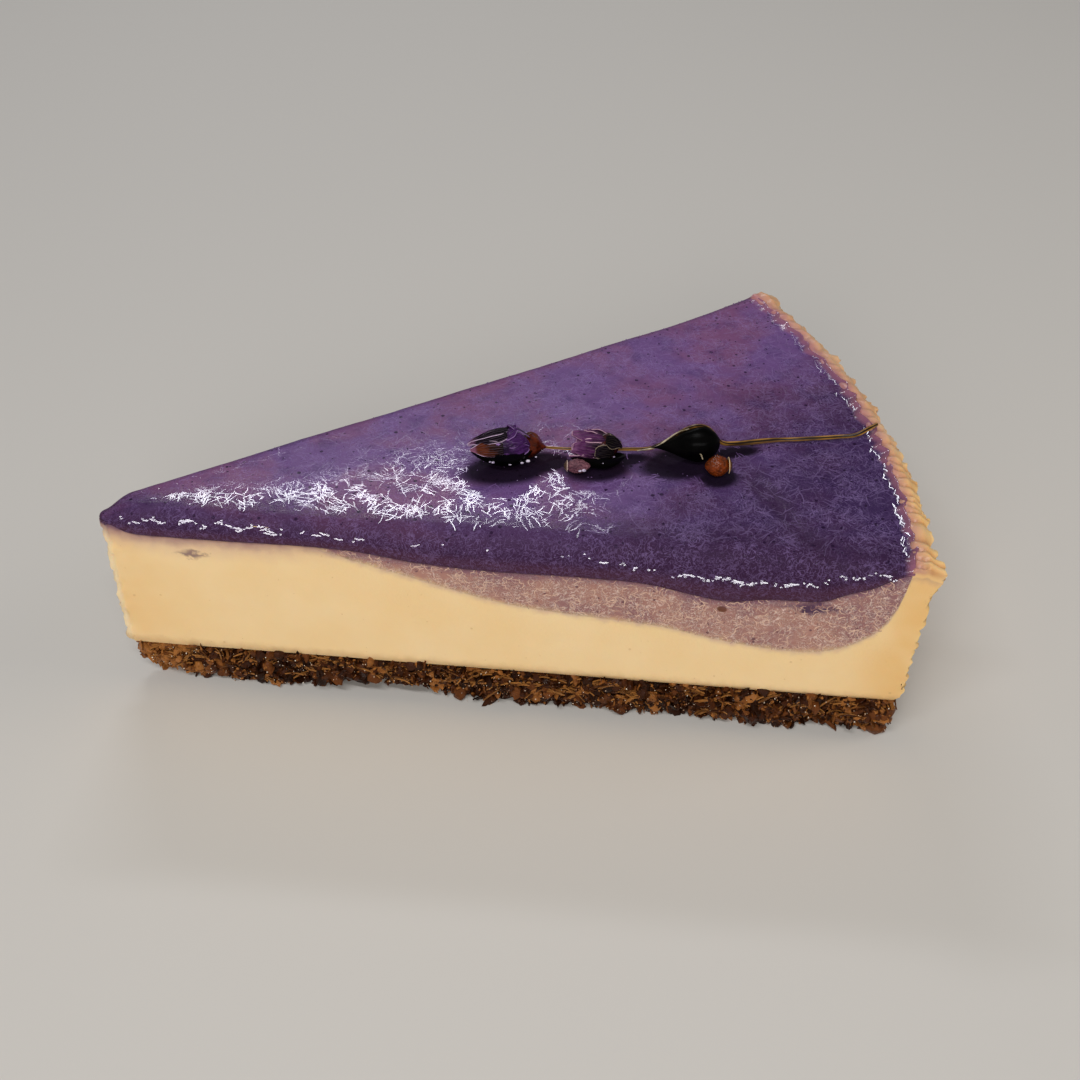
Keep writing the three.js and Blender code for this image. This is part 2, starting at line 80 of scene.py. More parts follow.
@dataclass(frozen=True)
class Curve:
    """A smooth curve through points of increasing x, which goes on level outside them."""

    points: tuple[tuple[float, float], ...]

    def at(self, x: Number) -> Number:
        """Return the curve's height at each x."""
        xs, ys = np.array(self.points).T
        slopes = np.empty(len(ys))
        slopes[1:-1] = (ys[2:] - ys[:-2]) / (xs[2:] - xs[:-2])
        slopes[0] = (ys[1] - ys[0]) / (xs[1] - xs[0])
        slopes[-1] = (ys[-1] - ys[-2]) / (xs[-1] - xs[-2])
        x = np.clip(x, xs[0], xs[-1])
        i = np.clip(np.searchsorted(xs, x, side="right") - 1, 0, len(xs) - 2)
        width = xs[i + 1] - xs[i]
        t = (x - xs[i]) / width
        bow = slopes[i] * (1 - t) - slopes[i + 1] * t
        return blend(ys[i], ys[i + 1], t * t * (3 - 2 * t)) + width * t * (1 - t) * bow


def lumps(x: Number, y: Number, z: Number, size: float) -> Number:
    """Return a lumpy value from -1 to 1 over space, with lumps about as wide as size."""
    k = math.pi / size
    a = np.sin(k * (x + 0.37 * y) + 1.7 * np.sin(0.61 * k * z + 0.4))
    b = np.sin(k * (y - 0.29 * z) + 1.3 * np.sin(0.83 * k * x + 2.1))
    c = np.sin(k * (0.91 * z + 0.23 * x) + 1.1 * np.sin(0.71 * k * y + 4.2))
    return (a + b + c) / 3


def grain(points: Rows, size: float, seed: float = 0.0, octaves: int = 2) -> Rows:
    """Return cloudy noise from about -1 to 1 at points, with clouds about as wide as size."""
    shift = Vector((seed, 2.3 * seed, -1.7 * seed))
    return np.array([noise.fractal(Vector(p) + shift, 0.9, 2.1, octaves) for p in points / size])


@dataclass(frozen=True)
class SliceShape:
    """The slice's true form, with the same sizes as its solids."""

    radius: float = 115.0
    half_wedge: float = math.radians(18)
    cos: float = math.cos(half_wedge)
    sin: float = math.sin(half_wedge)
    nose_setback: float = 3.4
    foot: float = 7.15
    glaze_level: float = 31.2
    glaze_proud: float = 0.4
    rounding: float = 0.75
    tip_droop: float = 1.7
    crown: float = 0.1
    rim_level: float = 31.2
    rim_width: float = 2.8
    wall_lean: float = 1.5
    near_edge: Curve = Curve((
        (4.7, 28.6), (7.5, 27.7), (18, 27.5), (32, 27.7), (39, 27.4), (46, 26.4), (54, 25.8),
        (70, 25.9), (78, 25.6), (88, 23.7), (94, 24.5), (101, 24.9), (104, 26.4), (107, 27.7),
        (109.2, 29.0), (111.2, 29.9), (112.6, 30.3),
    ))
    far_edge: Curve = Curve((
        (4.7, 28.6), (7.5, 27.7), (20, 27.0), (34, 27.6), (48, 26.2), (60, 26.6), (73, 25.4),
        (86, 26.3), (97, 25.5), (106, 27.6), (109, 29.0), (111.2, 29.9), (112.6, 30.3),
    ))
    bowl: Curve = Curve((
        (22, 33.0), (28, 29.6), (33, 27.2), (38, 25.4), (49, 22.3), (58, 20.1), (68, 19.2),
        (80, 18.4), (88, 16.6), (97, 15.3), (102.5, 15.7), (107, 17.9), (110, 21.2),
        (111.4, 25.6), (112.05, 32.0),
    ))

    @property
    def nose_start(self) -> float:
        """Distance from the pole where the rounded nose meets the cut faces."""
        return self.nose_setback / (1 / self.sin - 1) / math.tan(self.half_wedge)

    @property
    def middle(self) -> float:
        """Distance from the pole to the shared frame's origin."""
        return (self.nose_setback + self.radius) / 2

    def half(self, radius: Number) -> Number:
        """Return half the slice's width at a distance from the pole."""
        return radius * self.sin

    def plan(self, radius: Number, across: Number, inset: Number = 0.0) -> tuple[Number, Number]:
        """Find a place as seen from above.

        Args:
            radius: Distance from the pole.
            across: From -1 on the near cut face to 1 on the far one.
            inset: How far the cut faces and the nose have moved in.

        Returns:
            The x and y of the place in the slice's own frame.
        """
        half = self.half(radius)
        y = (half - np.minimum(inset / self.cos, 0.7 * half)) * across
        arc = np.sqrt(radius * radius - y * y)
        nose = 1 - ease(radius, self.nose_start, self.nose_start + 8)
        bulge = self.nose_start * self.cos - self.nose_setback
        bow = radius * self.cos - bulge * (1 - across * across) + nose * inset
        return blend(bow, arc, ease(radius, self.nose_start, 30)), y

    def glaze_top(self, radius: Number, across: Number) -> Number:
        """Return the height of the glaze's top surface."""
        droop = self.tip_droop * (1 - ease(radius, self.nose_setback, 9.5)) ** 2
        swell = 0.03 * np.sin(0.21 * radius + 1.3) * np.cos(2.6 * across + 0.5)
        return self.glaze_level - droop - self.crown * across * across + swell

    def glaze_edge(self, radius: Number, across: Number) -> Number:
        """Return the height of the glaze's lower edge at the cut faces."""
        return blend(self.near_edge.at(radius), self.far_edge.at(radius), ease(across, -1, 1))

    def shoulder(
        self, radius: Number, across: Number, turn: Number, depth: float = 0.0
    ) -> tuple[Number, Number]:
        """Find a point of the rounded shoulder between the top and a cut face.

        Args:
            radius: Distance from the pole.
            across: From the near cut face to the far one.
            turn: From 0 on the cut face to 1 on top.
            depth: How far in from the glaze's outer surface.

        Returns:
            How far in from the cut face the point lies, and its height.
        """
        top = self.glaze_top(radius, across)
        fall = top - self.glaze_edge(radius, across)
        far = ease(across, -0.6, 0.6)
        wide = blend(1.3 + 0.3 * fall, 1.0 + 0.1 * fall, far)
        wide = np.minimum(wide, 0.6 * self.half(radius))
        angle = turn * math.pi / 2
        proud = blend(self.glaze_proud, 0.9, far) * ease(radius, self.nose_start, 9.0)
        inset = wide - (wide + proud - depth) * np.cos(angle)
        drop = blend(self.rounding, 0.5, far) * fall
        return inset, top - drop + (drop - depth) * np.sin(angle)

    def hollow(self, radius: Number, across: Number) -> Number:
        """Return the height of the filling's hollow, in which the lavender layer lies."""
        return self.bowl.at(radius) + 0.35 * np.sin(0.09 * radius + 2.2 * across)

    def relief(self, x: Number, y: Number) -> Number:
        """Return how far the glaze's top swells above or sinks below its plain form."""
        off = x - 93.0 + 0.2 * (y + 16)
        along = ease(y, -27.5, -24.0) * (1 - ease(y, -13.0, -8.0))
        crease = 0.16 * np.exp(-(((off + 1.6) / 1.5) ** 2)) - 0.3 * np.exp(-((off / 1.1) ** 2))
        return 0.009 * lumps(x, y, 2, 9.0) + 0.003 * lumps(x, y, 7, 3.1) + along * crease

    def glaze_at(self, x: Number, y: Number) -> Number:
        """Return the height of the glaze's top, with its swells, at a place off the edges."""
        radius = np.hypot(x, y)
        half = self.half(radius) - 2.6 / self.cos
        return self.glaze_top(radius, np.clip(y / half, -1, 1)) + self.relief(x, y)

    def surface(self, x: float, y: float) -> float:
        """Return the height of the glaze under a place of the slice's own frame."""
        return float(self.glaze_top(math.hypot(x, y), math.atan2(y, x) / self.half_wedge))

    def wall(
        self, x: Number, y: Number, radius: Number, across: Number, height: Number,
        heel: float = 0.0, out: Number = 0.0,
    ) -> tuple[Number, Number, Number]:
        """Lean a place near the outer wall inwards, the more the lower it lies.

        Args:
            x: Where the place is.
            y: Where the place is.
            radius: Its distance from the pole.
            across: From the near cut face to the far one.
            height: Its height.
            heel: How much further in the wall's foot is.
            out: How far out the place moves after that.

        Returns:
            The place's new x and y, and the slight ripple of the cut face there.
        """
        down = np.clip((self.rim_level - height) / (self.rim_level - self.foot), 0, 1)
        lean = self.wall_lean * down + heel * ease(down, 0.9, 1) ** 2
        inwards = ease(radius, self.radius - 11, self.radius) * lean - out
        angle = self.half_wedge * across
        x, y = x - inwards * np.cos(angle), y - inwards * np.sin(angle)
        return x, y, 0.05 * lumps(x, y, height, 7.0) * ease(np.abs(across), 0.9, 1.0)

    def to_frame(self, *axes: Rows) -> Rows:
        """Move x, y and z in millimetres to rows of the shared frame in metres."""
        return (np.column_stack(axes) - np.array([self.middle, 0.0, 0.0])) * MM


SLICE = SliceShape()


# Making and finishing meshes


def select(piece: Piece | None = None) -> None:
    """Leave object mode with only this piece selected and active, or nothing."""
    if bpy.context.object and bpy.context.object.mode != "OBJECT":
        bpy.ops.object.mode_set(mode="OBJECT")
    bpy.ops.object.select_all(action="DESELECT")
    if piece:
        bpy.context.view_layer.objects.active = piece
        piece.select_set(True)


@contextmanager
def editing(piece: Piece, choice: str = "SELECT") -> Iterator[None]:
    """Work on a piece in edit mode, with all of it selected or none."""
    select(piece)
    bpy.ops.object.mode_set(mode="EDIT")
    bpy.ops.mesh.select_all(action=choice)
    yield
    bpy.ops.object.mode_set(mode="OBJECT")


def started(name: str, primitive: Callable[..., object], **sizes: object) -> Piece:
    """Start a piece from a primitive, with nothing else selected."""
    select()
    primitive(**sizes)
    piece = bpy.context.object
    piece.name = piece.data.name = name
    return piece


def sheet(name: str, rows: int, columns: int, size: float = 1) -> Piece:
    """Start a flat sheet of small faces."""
    grid = bpy.ops.mesh.primitive_grid_add
    return started(name, grid, x_subdivisions=rows, y_subdivisions=columns, size=size)


def ball(name: str, segments: int, rings: int, **more: object) -> Piece:
    """Start a ball with a radius of 1."""
    sphere = bpy.ops.mesh.primitive_uv_sphere_add
    return started(name, sphere, segments=segments, ring_count=rings, radius=1, **more)


def extruded(count: int, step: float = 1.0) -> None:
    """Extrude what is selected upwards, again and again."""
    for _ in range(count):
        bpy.ops.mesh.extrude_region_move(TRANSFORM_OT_translate={"value": (0, 0, step)})


def points_of(piece: Piece) -> Rows:
    """Return a mesh's vertices as rows of coordinates."""
    flat = np.empty(3 * len(piece.data.vertices))
    piece.data.vertices.foreach_get("co", flat)
    return flat.reshape(-1, 3)


def move_points(piece: Piece, *axes: Rows) -> None:
    """Put a mesh's vertices at new places, given as rows or as x, y and z."""
    piece.data.vertices.foreach_set("co", np.column_stack(axes).ravel())
    piece.data.update()


def mark(piece: Piece, **values: Rows) -> None:
    """Store numbers on each vertex, which a finish can read by their names."""
    for name, numbers in values.items():
        layer = piece.data.attributes.new(name, "FLOAT", "POINT")
        layer.data.foreach_set("value", np.asarray(numbers, dtype=np.float32).ravel())


def apply_modifier(piece: Piece, kind: str, **settings: object) -> None:
    """Add a modifier with these settings and apply it."""
    select(piece)
    modifier = piece.modifiers.new(kind.lower(), kind)
    for name, value in settings.items():
        setattr(modifier, name, value)
    bpy.ops.object.modifier_apply(modifier=modifier.name)


def close_up(piece: Piece, smooth: float = 60.0, gap: float = 0.002) -> Piece:
    """Merge vertices that meet, turn the faces outwards and shade them.

    Args:
        piece: The mesh object.
        smooth: Edges sharper than this many degrees stay crisp.
        gap: Vertices closer than this many millimetres are merged.

    Returns:
        The same object.
    """
    with editing(piece):
        bpy.ops.mesh.remove_doubles(threshold=gap * MM)
        bpy.ops.mesh.dissolve_degenerate(threshold=1e-7)
        bpy.ops.mesh.normals_make_consistent(inside=False)
    bpy.ops.object.shade_smooth_by_angle(angle=math.radians(smooth))
    return piece


def grid_block(name: str, rows: int, columns: int, levels: int) -> Piece:
    """Make a closed block of small faces, whose vertices lie at whole numbers from 0."""
    piece = sheet(name, rows, columns)
    with editing(piece):
        extruded(levels)
    move_points(piece, np.round((points_of(piece) + [0.5, 0.5, 0.0]) * [rows, columns, 1]))
    return piece


def runs(*stretches: tuple[float, float, int]) -> Rows:
    """Return rising numbers in stretches, each given by its start, end and count of steps."""
    parts = [np.linspace(a, b, n, endpoint=False) for a, b, n in stretches]
    return np.append(np.concatenate(parts), stretches[-1][1])


def facing(ahead: Sequence[float], normal: Sequence[float], spin: float = 0.0) -> Euler:
    """Return the turn that lays a strip along a direction with its top facing along a normal."""
    up = Vector(normal).normalized()
    along = Vector(ahead)
    along = (along - up * along.dot(up)).normalized()
    basis = Matrix((along, up.cross(along), up)).transposed()
    return (basis @ Matrix.Rotation(spin, 3, "Z")).to_euler()


class Mould:
    """Several small meshes copied into one piece, each copy with its own size, turn and place."""

    def __init__(self, name: str, models: Sequence[Piece]) -> None:
        """Take the models' meshes, in millimetres about the origin, and clear the models away."""
        self.name = name
        self.shapes: list[tuple[Rows, Rows]] = []
        for model in models:
            close_up(model, gap=0.0001)
            model.data.calc_loop_triangles()
            faces = np.empty(3 * len(model.data.loop_triangles), dtype=np.int32)
            model.data.loop_triangles.foreach_get("vertices", faces)
            self.shapes.append((points_of(model), faces.reshape(-1, 3)))
            bpy.data.objects.remove(model)
        self.points: list[Rows] = []
        self.faces: list[Rows] = []
        self.tones: list[Rows] = []
        self.count = 0

    def cast(
        self, model: int, place: Sequence[float], size: Sequence[float], turn: Euler, tone: float
    ) -> None:
        """Add one copy.

        Args:
            model: Which of the models is copied, counted round and round.
            place: Where its origin goes, in the slice's own frame.
            size: Its scale along its own three axes.
            turn: How it is turned.
            tone: A number from 0 to 1 that its finish reads.
        """
        points, faces = self.shapes[model % len(self.shapes)]
        turned = (points * np.array(size)) @ np.array(turn.to_matrix()).T + np.array(place)
        self.points.append(turned)
        self.faces.append(faces + self.count)
        self.tones.append(np.full(len(points), tone))
        self.count += len(points)

    def piece(
        self, floor: float = -math.inf, smooth: float = 38.0,
        ground: Form = lambda x, y: 0 * x,
    ) -> Piece:
        """Make the one piece.

        Args:
            floor: Nothing goes lower than this height.
            smooth: Edges sharper than this many degrees stay crisp.
            ground: The height of the surface that all heights are measured from.

        Returns:
            The new object, in the shared frame, with its tones stored.
        """
        points = np.concatenate(self.points)
        points[:, 2] = np.maximum(points[:, 2], floor) + ground(points[:, 0], points[:, 1])
        mesh = bpy.data.meshes.new(self.name)
        mesh.from_pydata(SLICE.to_frame(points).tolist(), [], np.concatenate(self.faces).tolist())
        piece = bpy.data.objects.new(self.name, mesh)
        bpy.context.collection.objects.link(piece)
        mark(piece, tone=np.concatenate(self.tones))
        select(piece)
        bpy.ops.object.shade_smooth_by_angle(angle=math.radians(smooth))
        return piece


# Shader nodes


class Field:
    """A socket that takes part in arithmetic."""

    def __init__(self, recipe: "Recipe", socket: bpy.types.NodeSocket) -> None:
        """Wrap a socket of a recipe's node tree."""
        self.recipe = recipe
        self.socket = socket

    def __add__(self, other: "Field | float") -> "Field":
        """Return the sum."""
        return self.recipe.maths("ADD", self, other)

    def __sub__(self, other: "Field | float") -> "Field":
        """Return the difference."""
        return self.recipe.maths("SUBTRACT", self, other)

    def __rsub__(self, other: float) -> "Field":
        """Return a number less this field."""
        return self.recipe.maths("SUBTRACT", other, self)

    def __mul__(self, other: "Field | float") -> "Field":
        """Return the product."""
        return self.recipe.maths("MULTIPLY", self, other)

    __radd__ = __add__
    __rmul__ = __mul__

    def __abs__(self) -> "Field":
        """Return the size without its sign."""
        return self.recipe.maths("ABSOLUTE", self)

    def most(self, other: "Field | float") -> "Field":
        """Return the larger of the two."""
        return self.recipe.maths("MAXIMUM", self, other)

    def ramp(self, low: float, high: float) -> "Field":
        """Return a smooth step from 0 at low to 1 at high, or down again where high is lower."""
        if high < low:
            return 1.0 - self.ramp(high, low)
        settings = {"interpolation_type": "SMOOTHSTEP", "clamp": True}
        sockets = {"Value": self, "From Min": low, "From Max": high}
        return self.recipe.node("ShaderNodeMapRange", settings, sockets)


def tint(red: int, green: int, blue: int) -> Tint:
    """Turn a colour as a screen shows it, from 0 to 255, into the linear one a shader takes."""
    shares = (value / 255 for value in (red, green, blue))
    return tuple(s / 12.92 if s <= 0.04045 else ((s + 0.055) / 1.055) ** 2.4 for s in shares)


class Recipe:
    """One material, built up node by node on its Principled shader."""

    def __init__(self, name: str) -> None:
        """Start a material whose patterns are laid out in millimetres."""
        self.material = bpy.data.materials.new(name)
        self.material.use_nodes = True
        self.tree = self.material.node_tree
        self.shader = self.tree.nodes["Principled BSDF"]
        metres = self.node("ShaderNodeTexCoord", {}, {}, "Object")
        self.place = self.vector("MULTIPLY", metres, (1 / MM,) * 3)

    def node(
        self, kind: str, settings: dict[str, object], sockets: dict[str | int, object],
        output: str | int = 0,
    ) -> Field:
        """Add a node.

        Args:
            kind: The node's type.
            settings: Its properties, which are set first.
            sockets: Values or fields for its inputs, by name or number.
            output: Which output to return.

        Returns:
            The output as a field.
        """
        node = self.tree.nodes.new(kind)
        for name, value in settings.items():
            setattr(node, name, value)
        for key, value in sockets.items():
            self.feed(node.inputs[key], value)
        return Field(self, node.outputs[output])

    def feed(self, socket: bpy.types.NodeSocket, value: object) -> None:
        """Link a field to a socket, or set the socket's own value."""
        if isinstance(value, Field):
            self.tree.links.new(value.socket, socket)
        elif isinstance(value, tuple) and socket.type == "RGBA":
            socket.default_value = (*value, 1.0)
        else:
            socket.default_value = value

    def maths(self, operation: str, *values: Field | float) -> Field:
        """Add a Math node on these values."""
        return self.node("ShaderNodeMath", {"operation": operation}, dict(enumerate(values)))

    def vector(self, operation: str, *values: Field | Spot) -> Field:
        """Add a Vector Math node on these values."""
        return self.node("ShaderNodeVectorMath", {"operation": operation}, dict(enumerate(values)))

    def axis(self, letter: str, place: Field | None = None) -> Field:
        """Return one coordinate of a place, in millimetres."""
        return self.node("ShaderNodeSeparateXYZ", {}, {0: place or self.place}, letter)

    def stored(self, name: str) -> Field:
        """Return a number that is stored on the piece's vertices."""
        return self.node("ShaderNodeAttribute", {"attribute_name": name}, {}, "Fac")

    def clouds(
        self, size: float, detail: float = 2.0, seed: float = 0.0, place: Field | None = None,
        roughness: float = 0.5, distortion: float = 0.0,
    ) -> Field:
        """Return cloudy noise from 0 to 1, with clouds about as wide as size in millimetres."""
        spot = place or self.vector("ADD", self.place, (seed, -2 * seed, 3 * seed))
        sockets = {
            "Vector": spot, "Scale": 1 / size, "Detail": detail, "Roughness": roughness,
            "Distortion": distortion,
        }
        return self.node("ShaderNodeTexNoise", {}, sockets, "Fac")

    def specks(self, spacing: float, radius: float, seed: float = 0.0, kept: float = 0.5) -> Field:
        """Return a mask of small spots.

        Args:
            spacing: Millimetres between neighbouring spots.
            radius: A spot's radius in millimetres.
            seed: Moves the spots.
            kept: The share of the spots that shows.

        Returns:
            1 inside a spot and 0 outside.
        """
        spot = self.vector("ADD", self.place, (seed, 2 * seed, -seed))
        sockets = {"Vector": spot, "Scale": 1 / spacing}
        chance, away = (
            self.node("ShaderNodeTexVoronoi", {}, sockets, output)
            for output in ("Color", "Distance")
        )
        size = (self.axis("X", chance) - (1 - kept)).most(0.0) * (radius / spacing / kept)
        return self.maths("GREATER_THAN", size, away)

    def threads(self, size: float, width: float, seed: float = 0.0, curl: float = 1.5) -> Field:
        """Return thin curling threads, as the contour lines of a noise.

        Args:
            size: How wide a thread's curls are, in millimetres.
            width: The threads' width, as a share of the noise's range.
            seed: Moves the threads.
            curl: How strongly the noise is distorted.

        Returns:
            1 along a thread's middle, falling to 0 at its sides.
        """
        return abs(self.clouds(size, 1.5, seed, distortion=curl) - 0.5).ramp(width, 0.0)

    def mix(self, factor: Field | float, first: Field | Tint, second: Field | Tint) -> Field:
        """Return the first colour, turned into the second one by a factor."""
        settings = {"data_type": "RGBA", "blend_type": "MIX", "clamp_factor": True}
        return self.node("ShaderNodeMix", settings, {0: factor, 6: first, 7: second}, 2)

    def layered(self, colour: Field | Tint, *layers: tuple[Field | float, Field | Tint]) -> Field:
        """Return a colour with others laid over it, each by its own factor."""
        for factor, over in layers:
            colour = self.mix(factor, colour, over)
        return colour

    def below_glaze_edge(self) -> Field:
        """Return how far below the glaze's ragged edge a cut face lies."""
        return self.stored("under") + self.clouds(2.2, 3, 12.0) * 1.6 - 0.8

    def met(self) -> Field:
        """Return how far the filling has turned into the lavender layer."""
        return (self.stored("above") + self.clouds(1.6, 3, 3.0) * 1.6 - 0.8).ramp(-1.1, 1.1)

    def bump(self, height: Field, depth: float, **under: Field) -> Field:
        """Return a normal bent by a height, which is as many millimetres deep.

        Args:
            height: From 0 to 1.
            depth: How deep that is, in millimetres.
            **under: A normal that was bent before, as Normal.

        Returns:
            The bent normal.
        """
        sockets = {"Height": height, "Distance": depth * MM, "Strength": 1.0, **under}
        return self.node("ShaderNodeBump", {}, sockets)

    def finish(self, **sockets: object) -> Material:
        """Set the shader's sockets, whose names have underscores here, and return the material."""
        for name, value in sockets.items():
            self.feed(self.shader.inputs[name.replace("_", " ")], value)
        return self.material


# Finishes


class Finish:
    """What a piece is made of."""

    def material(self) -> Material:
        """Build the material."""
        raise NotImplementedError


@cache
def made(finish: Finish) -> Material:
    """Return a finish's material, which is built once."""
    return finish.material()


@dataclass(frozen=True)
class CreamFinish(Finish):
    """Baked cream cheese filling: smooth and dense, golden near the tin, painted light at the tip.
    """

    cream: Tint = tint(242, 208, 153)
    pale: Tint = tint(249, 226, 184)
    golden: Tint = tint(232, 182, 108)
    mauve: Tint = tint(190, 152, 146)
    rosy: Tint = tint(180, 122, 126)
    crevice: Tint = tint(186, 120, 66)
    smear_and_shade: Tint = tint(150, 108, 112)
    violet: Tint = tint(92, 58, 86)
    pore: Tint = tint(190, 146, 96)
    fleck: Tint = tint(112, 52, 40)

    def material(self) -> Material:
        """Build the material."""
        recipe = Recipe("cream_filling")
        clouds, specks = recipe.clouds, recipe.specks
        x, y, z = (recipe.axis(letter) for letter in "XYZ")
        reach, on_rim = recipe.stored("reach"), recipe.stored("rim")
        near_tin = reach.ramp(104.0, 114.0) * clouds(9, 2, 5.0).ramp(0.2, 0.6)
        # Painted warm glow through the thin tip
        near_tip = reach.ramp(16.0, 5.0) * clouds(8, 2, 9.0).ramp(0.3, 0.7) * 0.5
        foot = (z + clouds(1.4, 2, 23.0) * 1.2 - 0.6).ramp(9.0, 7.2)
        # Glaze soaked into the cut face and painted shade under its edge; a drop ran near the tip
        under = recipe.below_glaze_edge()
        ragged = clouds(1.1, 3, 19.0) - 0.5
        run = abs(z - 24.6 + ragged * 2.4) + abs(x + 44.2 + ragged * 3.0) * 0.4
        # The rim takes some of the glaze's colour on its inner side
        inner = (reach + clouds(1.5, 2, 7.0) * 1.4 - 0.7).ramp(114.6, 111.9)
        far = y.ramp(-24.0, 4.0)
        pores = specks(1.9, 0.2, 2.0, 0.4).most(specks(0.9, 0.1, 6.0, 0.3))
        colour = recipe.layered(
            self.cream,
            (clouds(14, 3).ramp(0.35, 0.7) * 0.35, self.pale),
            (near_tin.most(near_tip) * 0.75, self.golden),
            # Painted highlight on the nose facet, as if lit from the left
            (reach.ramp(4.9, 3.9) * 0.7, self.pale),
            (foot * 0.5, self.pore),
            (recipe.met(), self.mauve),
            (under.ramp(4.2, 0.3) * reach.ramp(40.0, 24.0) * 0.5, self.mauve),
            # Soaked glaze and painted shade under the glaze's edge
            (under.ramp(2.2, -0.2) * 0.75, self.smear_and_shade),
            (under.ramp(0.5, -0.3) * 0.75, self.violet),
            (run.ramp(1.3, 0.3) * y.ramp(-3.6, -4.4) * 0.75, self.violet),
            (on_rim * (1.0 - recipe.stored("fold")) * 0.75, self.crevice),
            (on_rim * inner * (0.75 + far * 0.25), self.rosy),
            (on_rim * far * 0.3, self.rosy),
            (pores * 0.3, self.pore),
            (specks(2.6, 0.3, 21.0, 0.35) * on_rim * 0.8, self.fleck),
        )
        height = clouds(0.5, 3, 4.0) * 0.4 + clouds(3.0, 2, 8.0) - pores * 0.5
        return recipe.finish(
            Base_Color=colour, Roughness=0.5 - on_rim * 0.2 + clouds(1.2, 2, 11.0) * 0.12,
            Normal=recipe.bump(height, 0.08), Subsurface_Weight=0.2,
            Subsurface_Radius=(1.0, 0.55, 0.25), Subsurface_Scale=0.0012,
        )


@dataclass(frozen=True)
class MauveFinish(Finish):
    """Lavender layer on its cut face: dusty mauve, with fine threads and open pores."""

    cream: Tint = CreamFinish.cream
    mauve: Tint = tint(174, 127, 114)
    dusky: Tint = tint(146, 103, 104)
    thread: Tint = tint(224, 196, 184)
    pore: Tint = tint(104, 64, 74)
    violet: Tint = tint(70, 40, 76)
    speck: Tint = tint(104, 56, 26)
    smear_and_shade: Tint = tint(112, 72, 100)

    def material(self) -> Material:
        """Build the material."""
        recipe = Recipe("mauve_layer")
        clouds, specks = recipe.clouds, recipe.specks
        x, y, z = (recipe.axis(letter) for letter in "XYZ")
        threads = recipe.threads(1.6, 0.035, 1.0, 2.2).most(recipe.threads(1.0, 0.04, 5.0, 2.2))
        threads = threads * clouds(2.5, 1, 3.0).ramp(0.26, 0.45)
        low = recipe.stored("above").ramp(5.0, 1.0)
        pores = specks(1.0, 0.2, 2.0, 0.7).most(specks(1.5, 0.3, 7.0, 0.5) * low)
        # A run of glaze and one toasted speck, both by the near cut face
        near = y.ramp(-18.0, -22.0) * 0.95
        ragged = clouds(1.3, 3, 9.0) - 0.5
        run = abs(z - 23.4 + ragged * 2.6) * 0.8 + abs(x - 36.0 + ragged * 5.0) * 0.22
        rise, off = z - 22.1, x - 24.5
        spot = rise * rise + off * off * 0.6 + ragged * 0.7
        colour = recipe.layered(
            self.mauve,
            (clouds(6, 3).ramp(0.35, 0.7), self.dusky),
            (threads * 0.95, self.thread),
            (pores * 0.85, self.pore),
            (run.ramp(1.3, 0.35) * near, self.violet),
            (spot.ramp(0.34, 0.14) * near, self.speck),
            # Soaked glaze and painted shade under the glaze's lip
            (recipe.below_glaze_edge().ramp(2.0, -0.3) * 0.8, self.smear_and_shade),
        )
        height = threads * 0.5 - pores + clouds(0.5, 3, 4.0) * 0.5
        return recipe.finish(
            Base_Color=recipe.mix(recipe.met(), self.cream, colour),
            Roughness=0.5 + clouds(1.2, 2, 11.0) * 0.12, Normal=recipe.bump(height, 0.08),
            Subsurface_Weight=0.2, Subsurface_Radius=(1.0, 0.55, 0.35), Subsurface_Scale=0.0012,
        )


@dataclass(frozen=True)
class FibreFinish(Finish):
    """Pale fibres of the lavender layer."""

    dull: Tint = tint(172, 126, 118)
    pale: Tint = tint(222, 188, 166)

    def material(self) -> Material:
        """Build the material."""
        recipe = Recipe("layer_fibre")
        tone = recipe.stored("tone") + recipe.clouds(1.5, 2) * 0.6 - 0.3
        colour = recipe.mix(tone.ramp(0.1, 0.9), self.dull, self.pale)
        return recipe.finish(Base_Color=colour, Roughness=0.45)


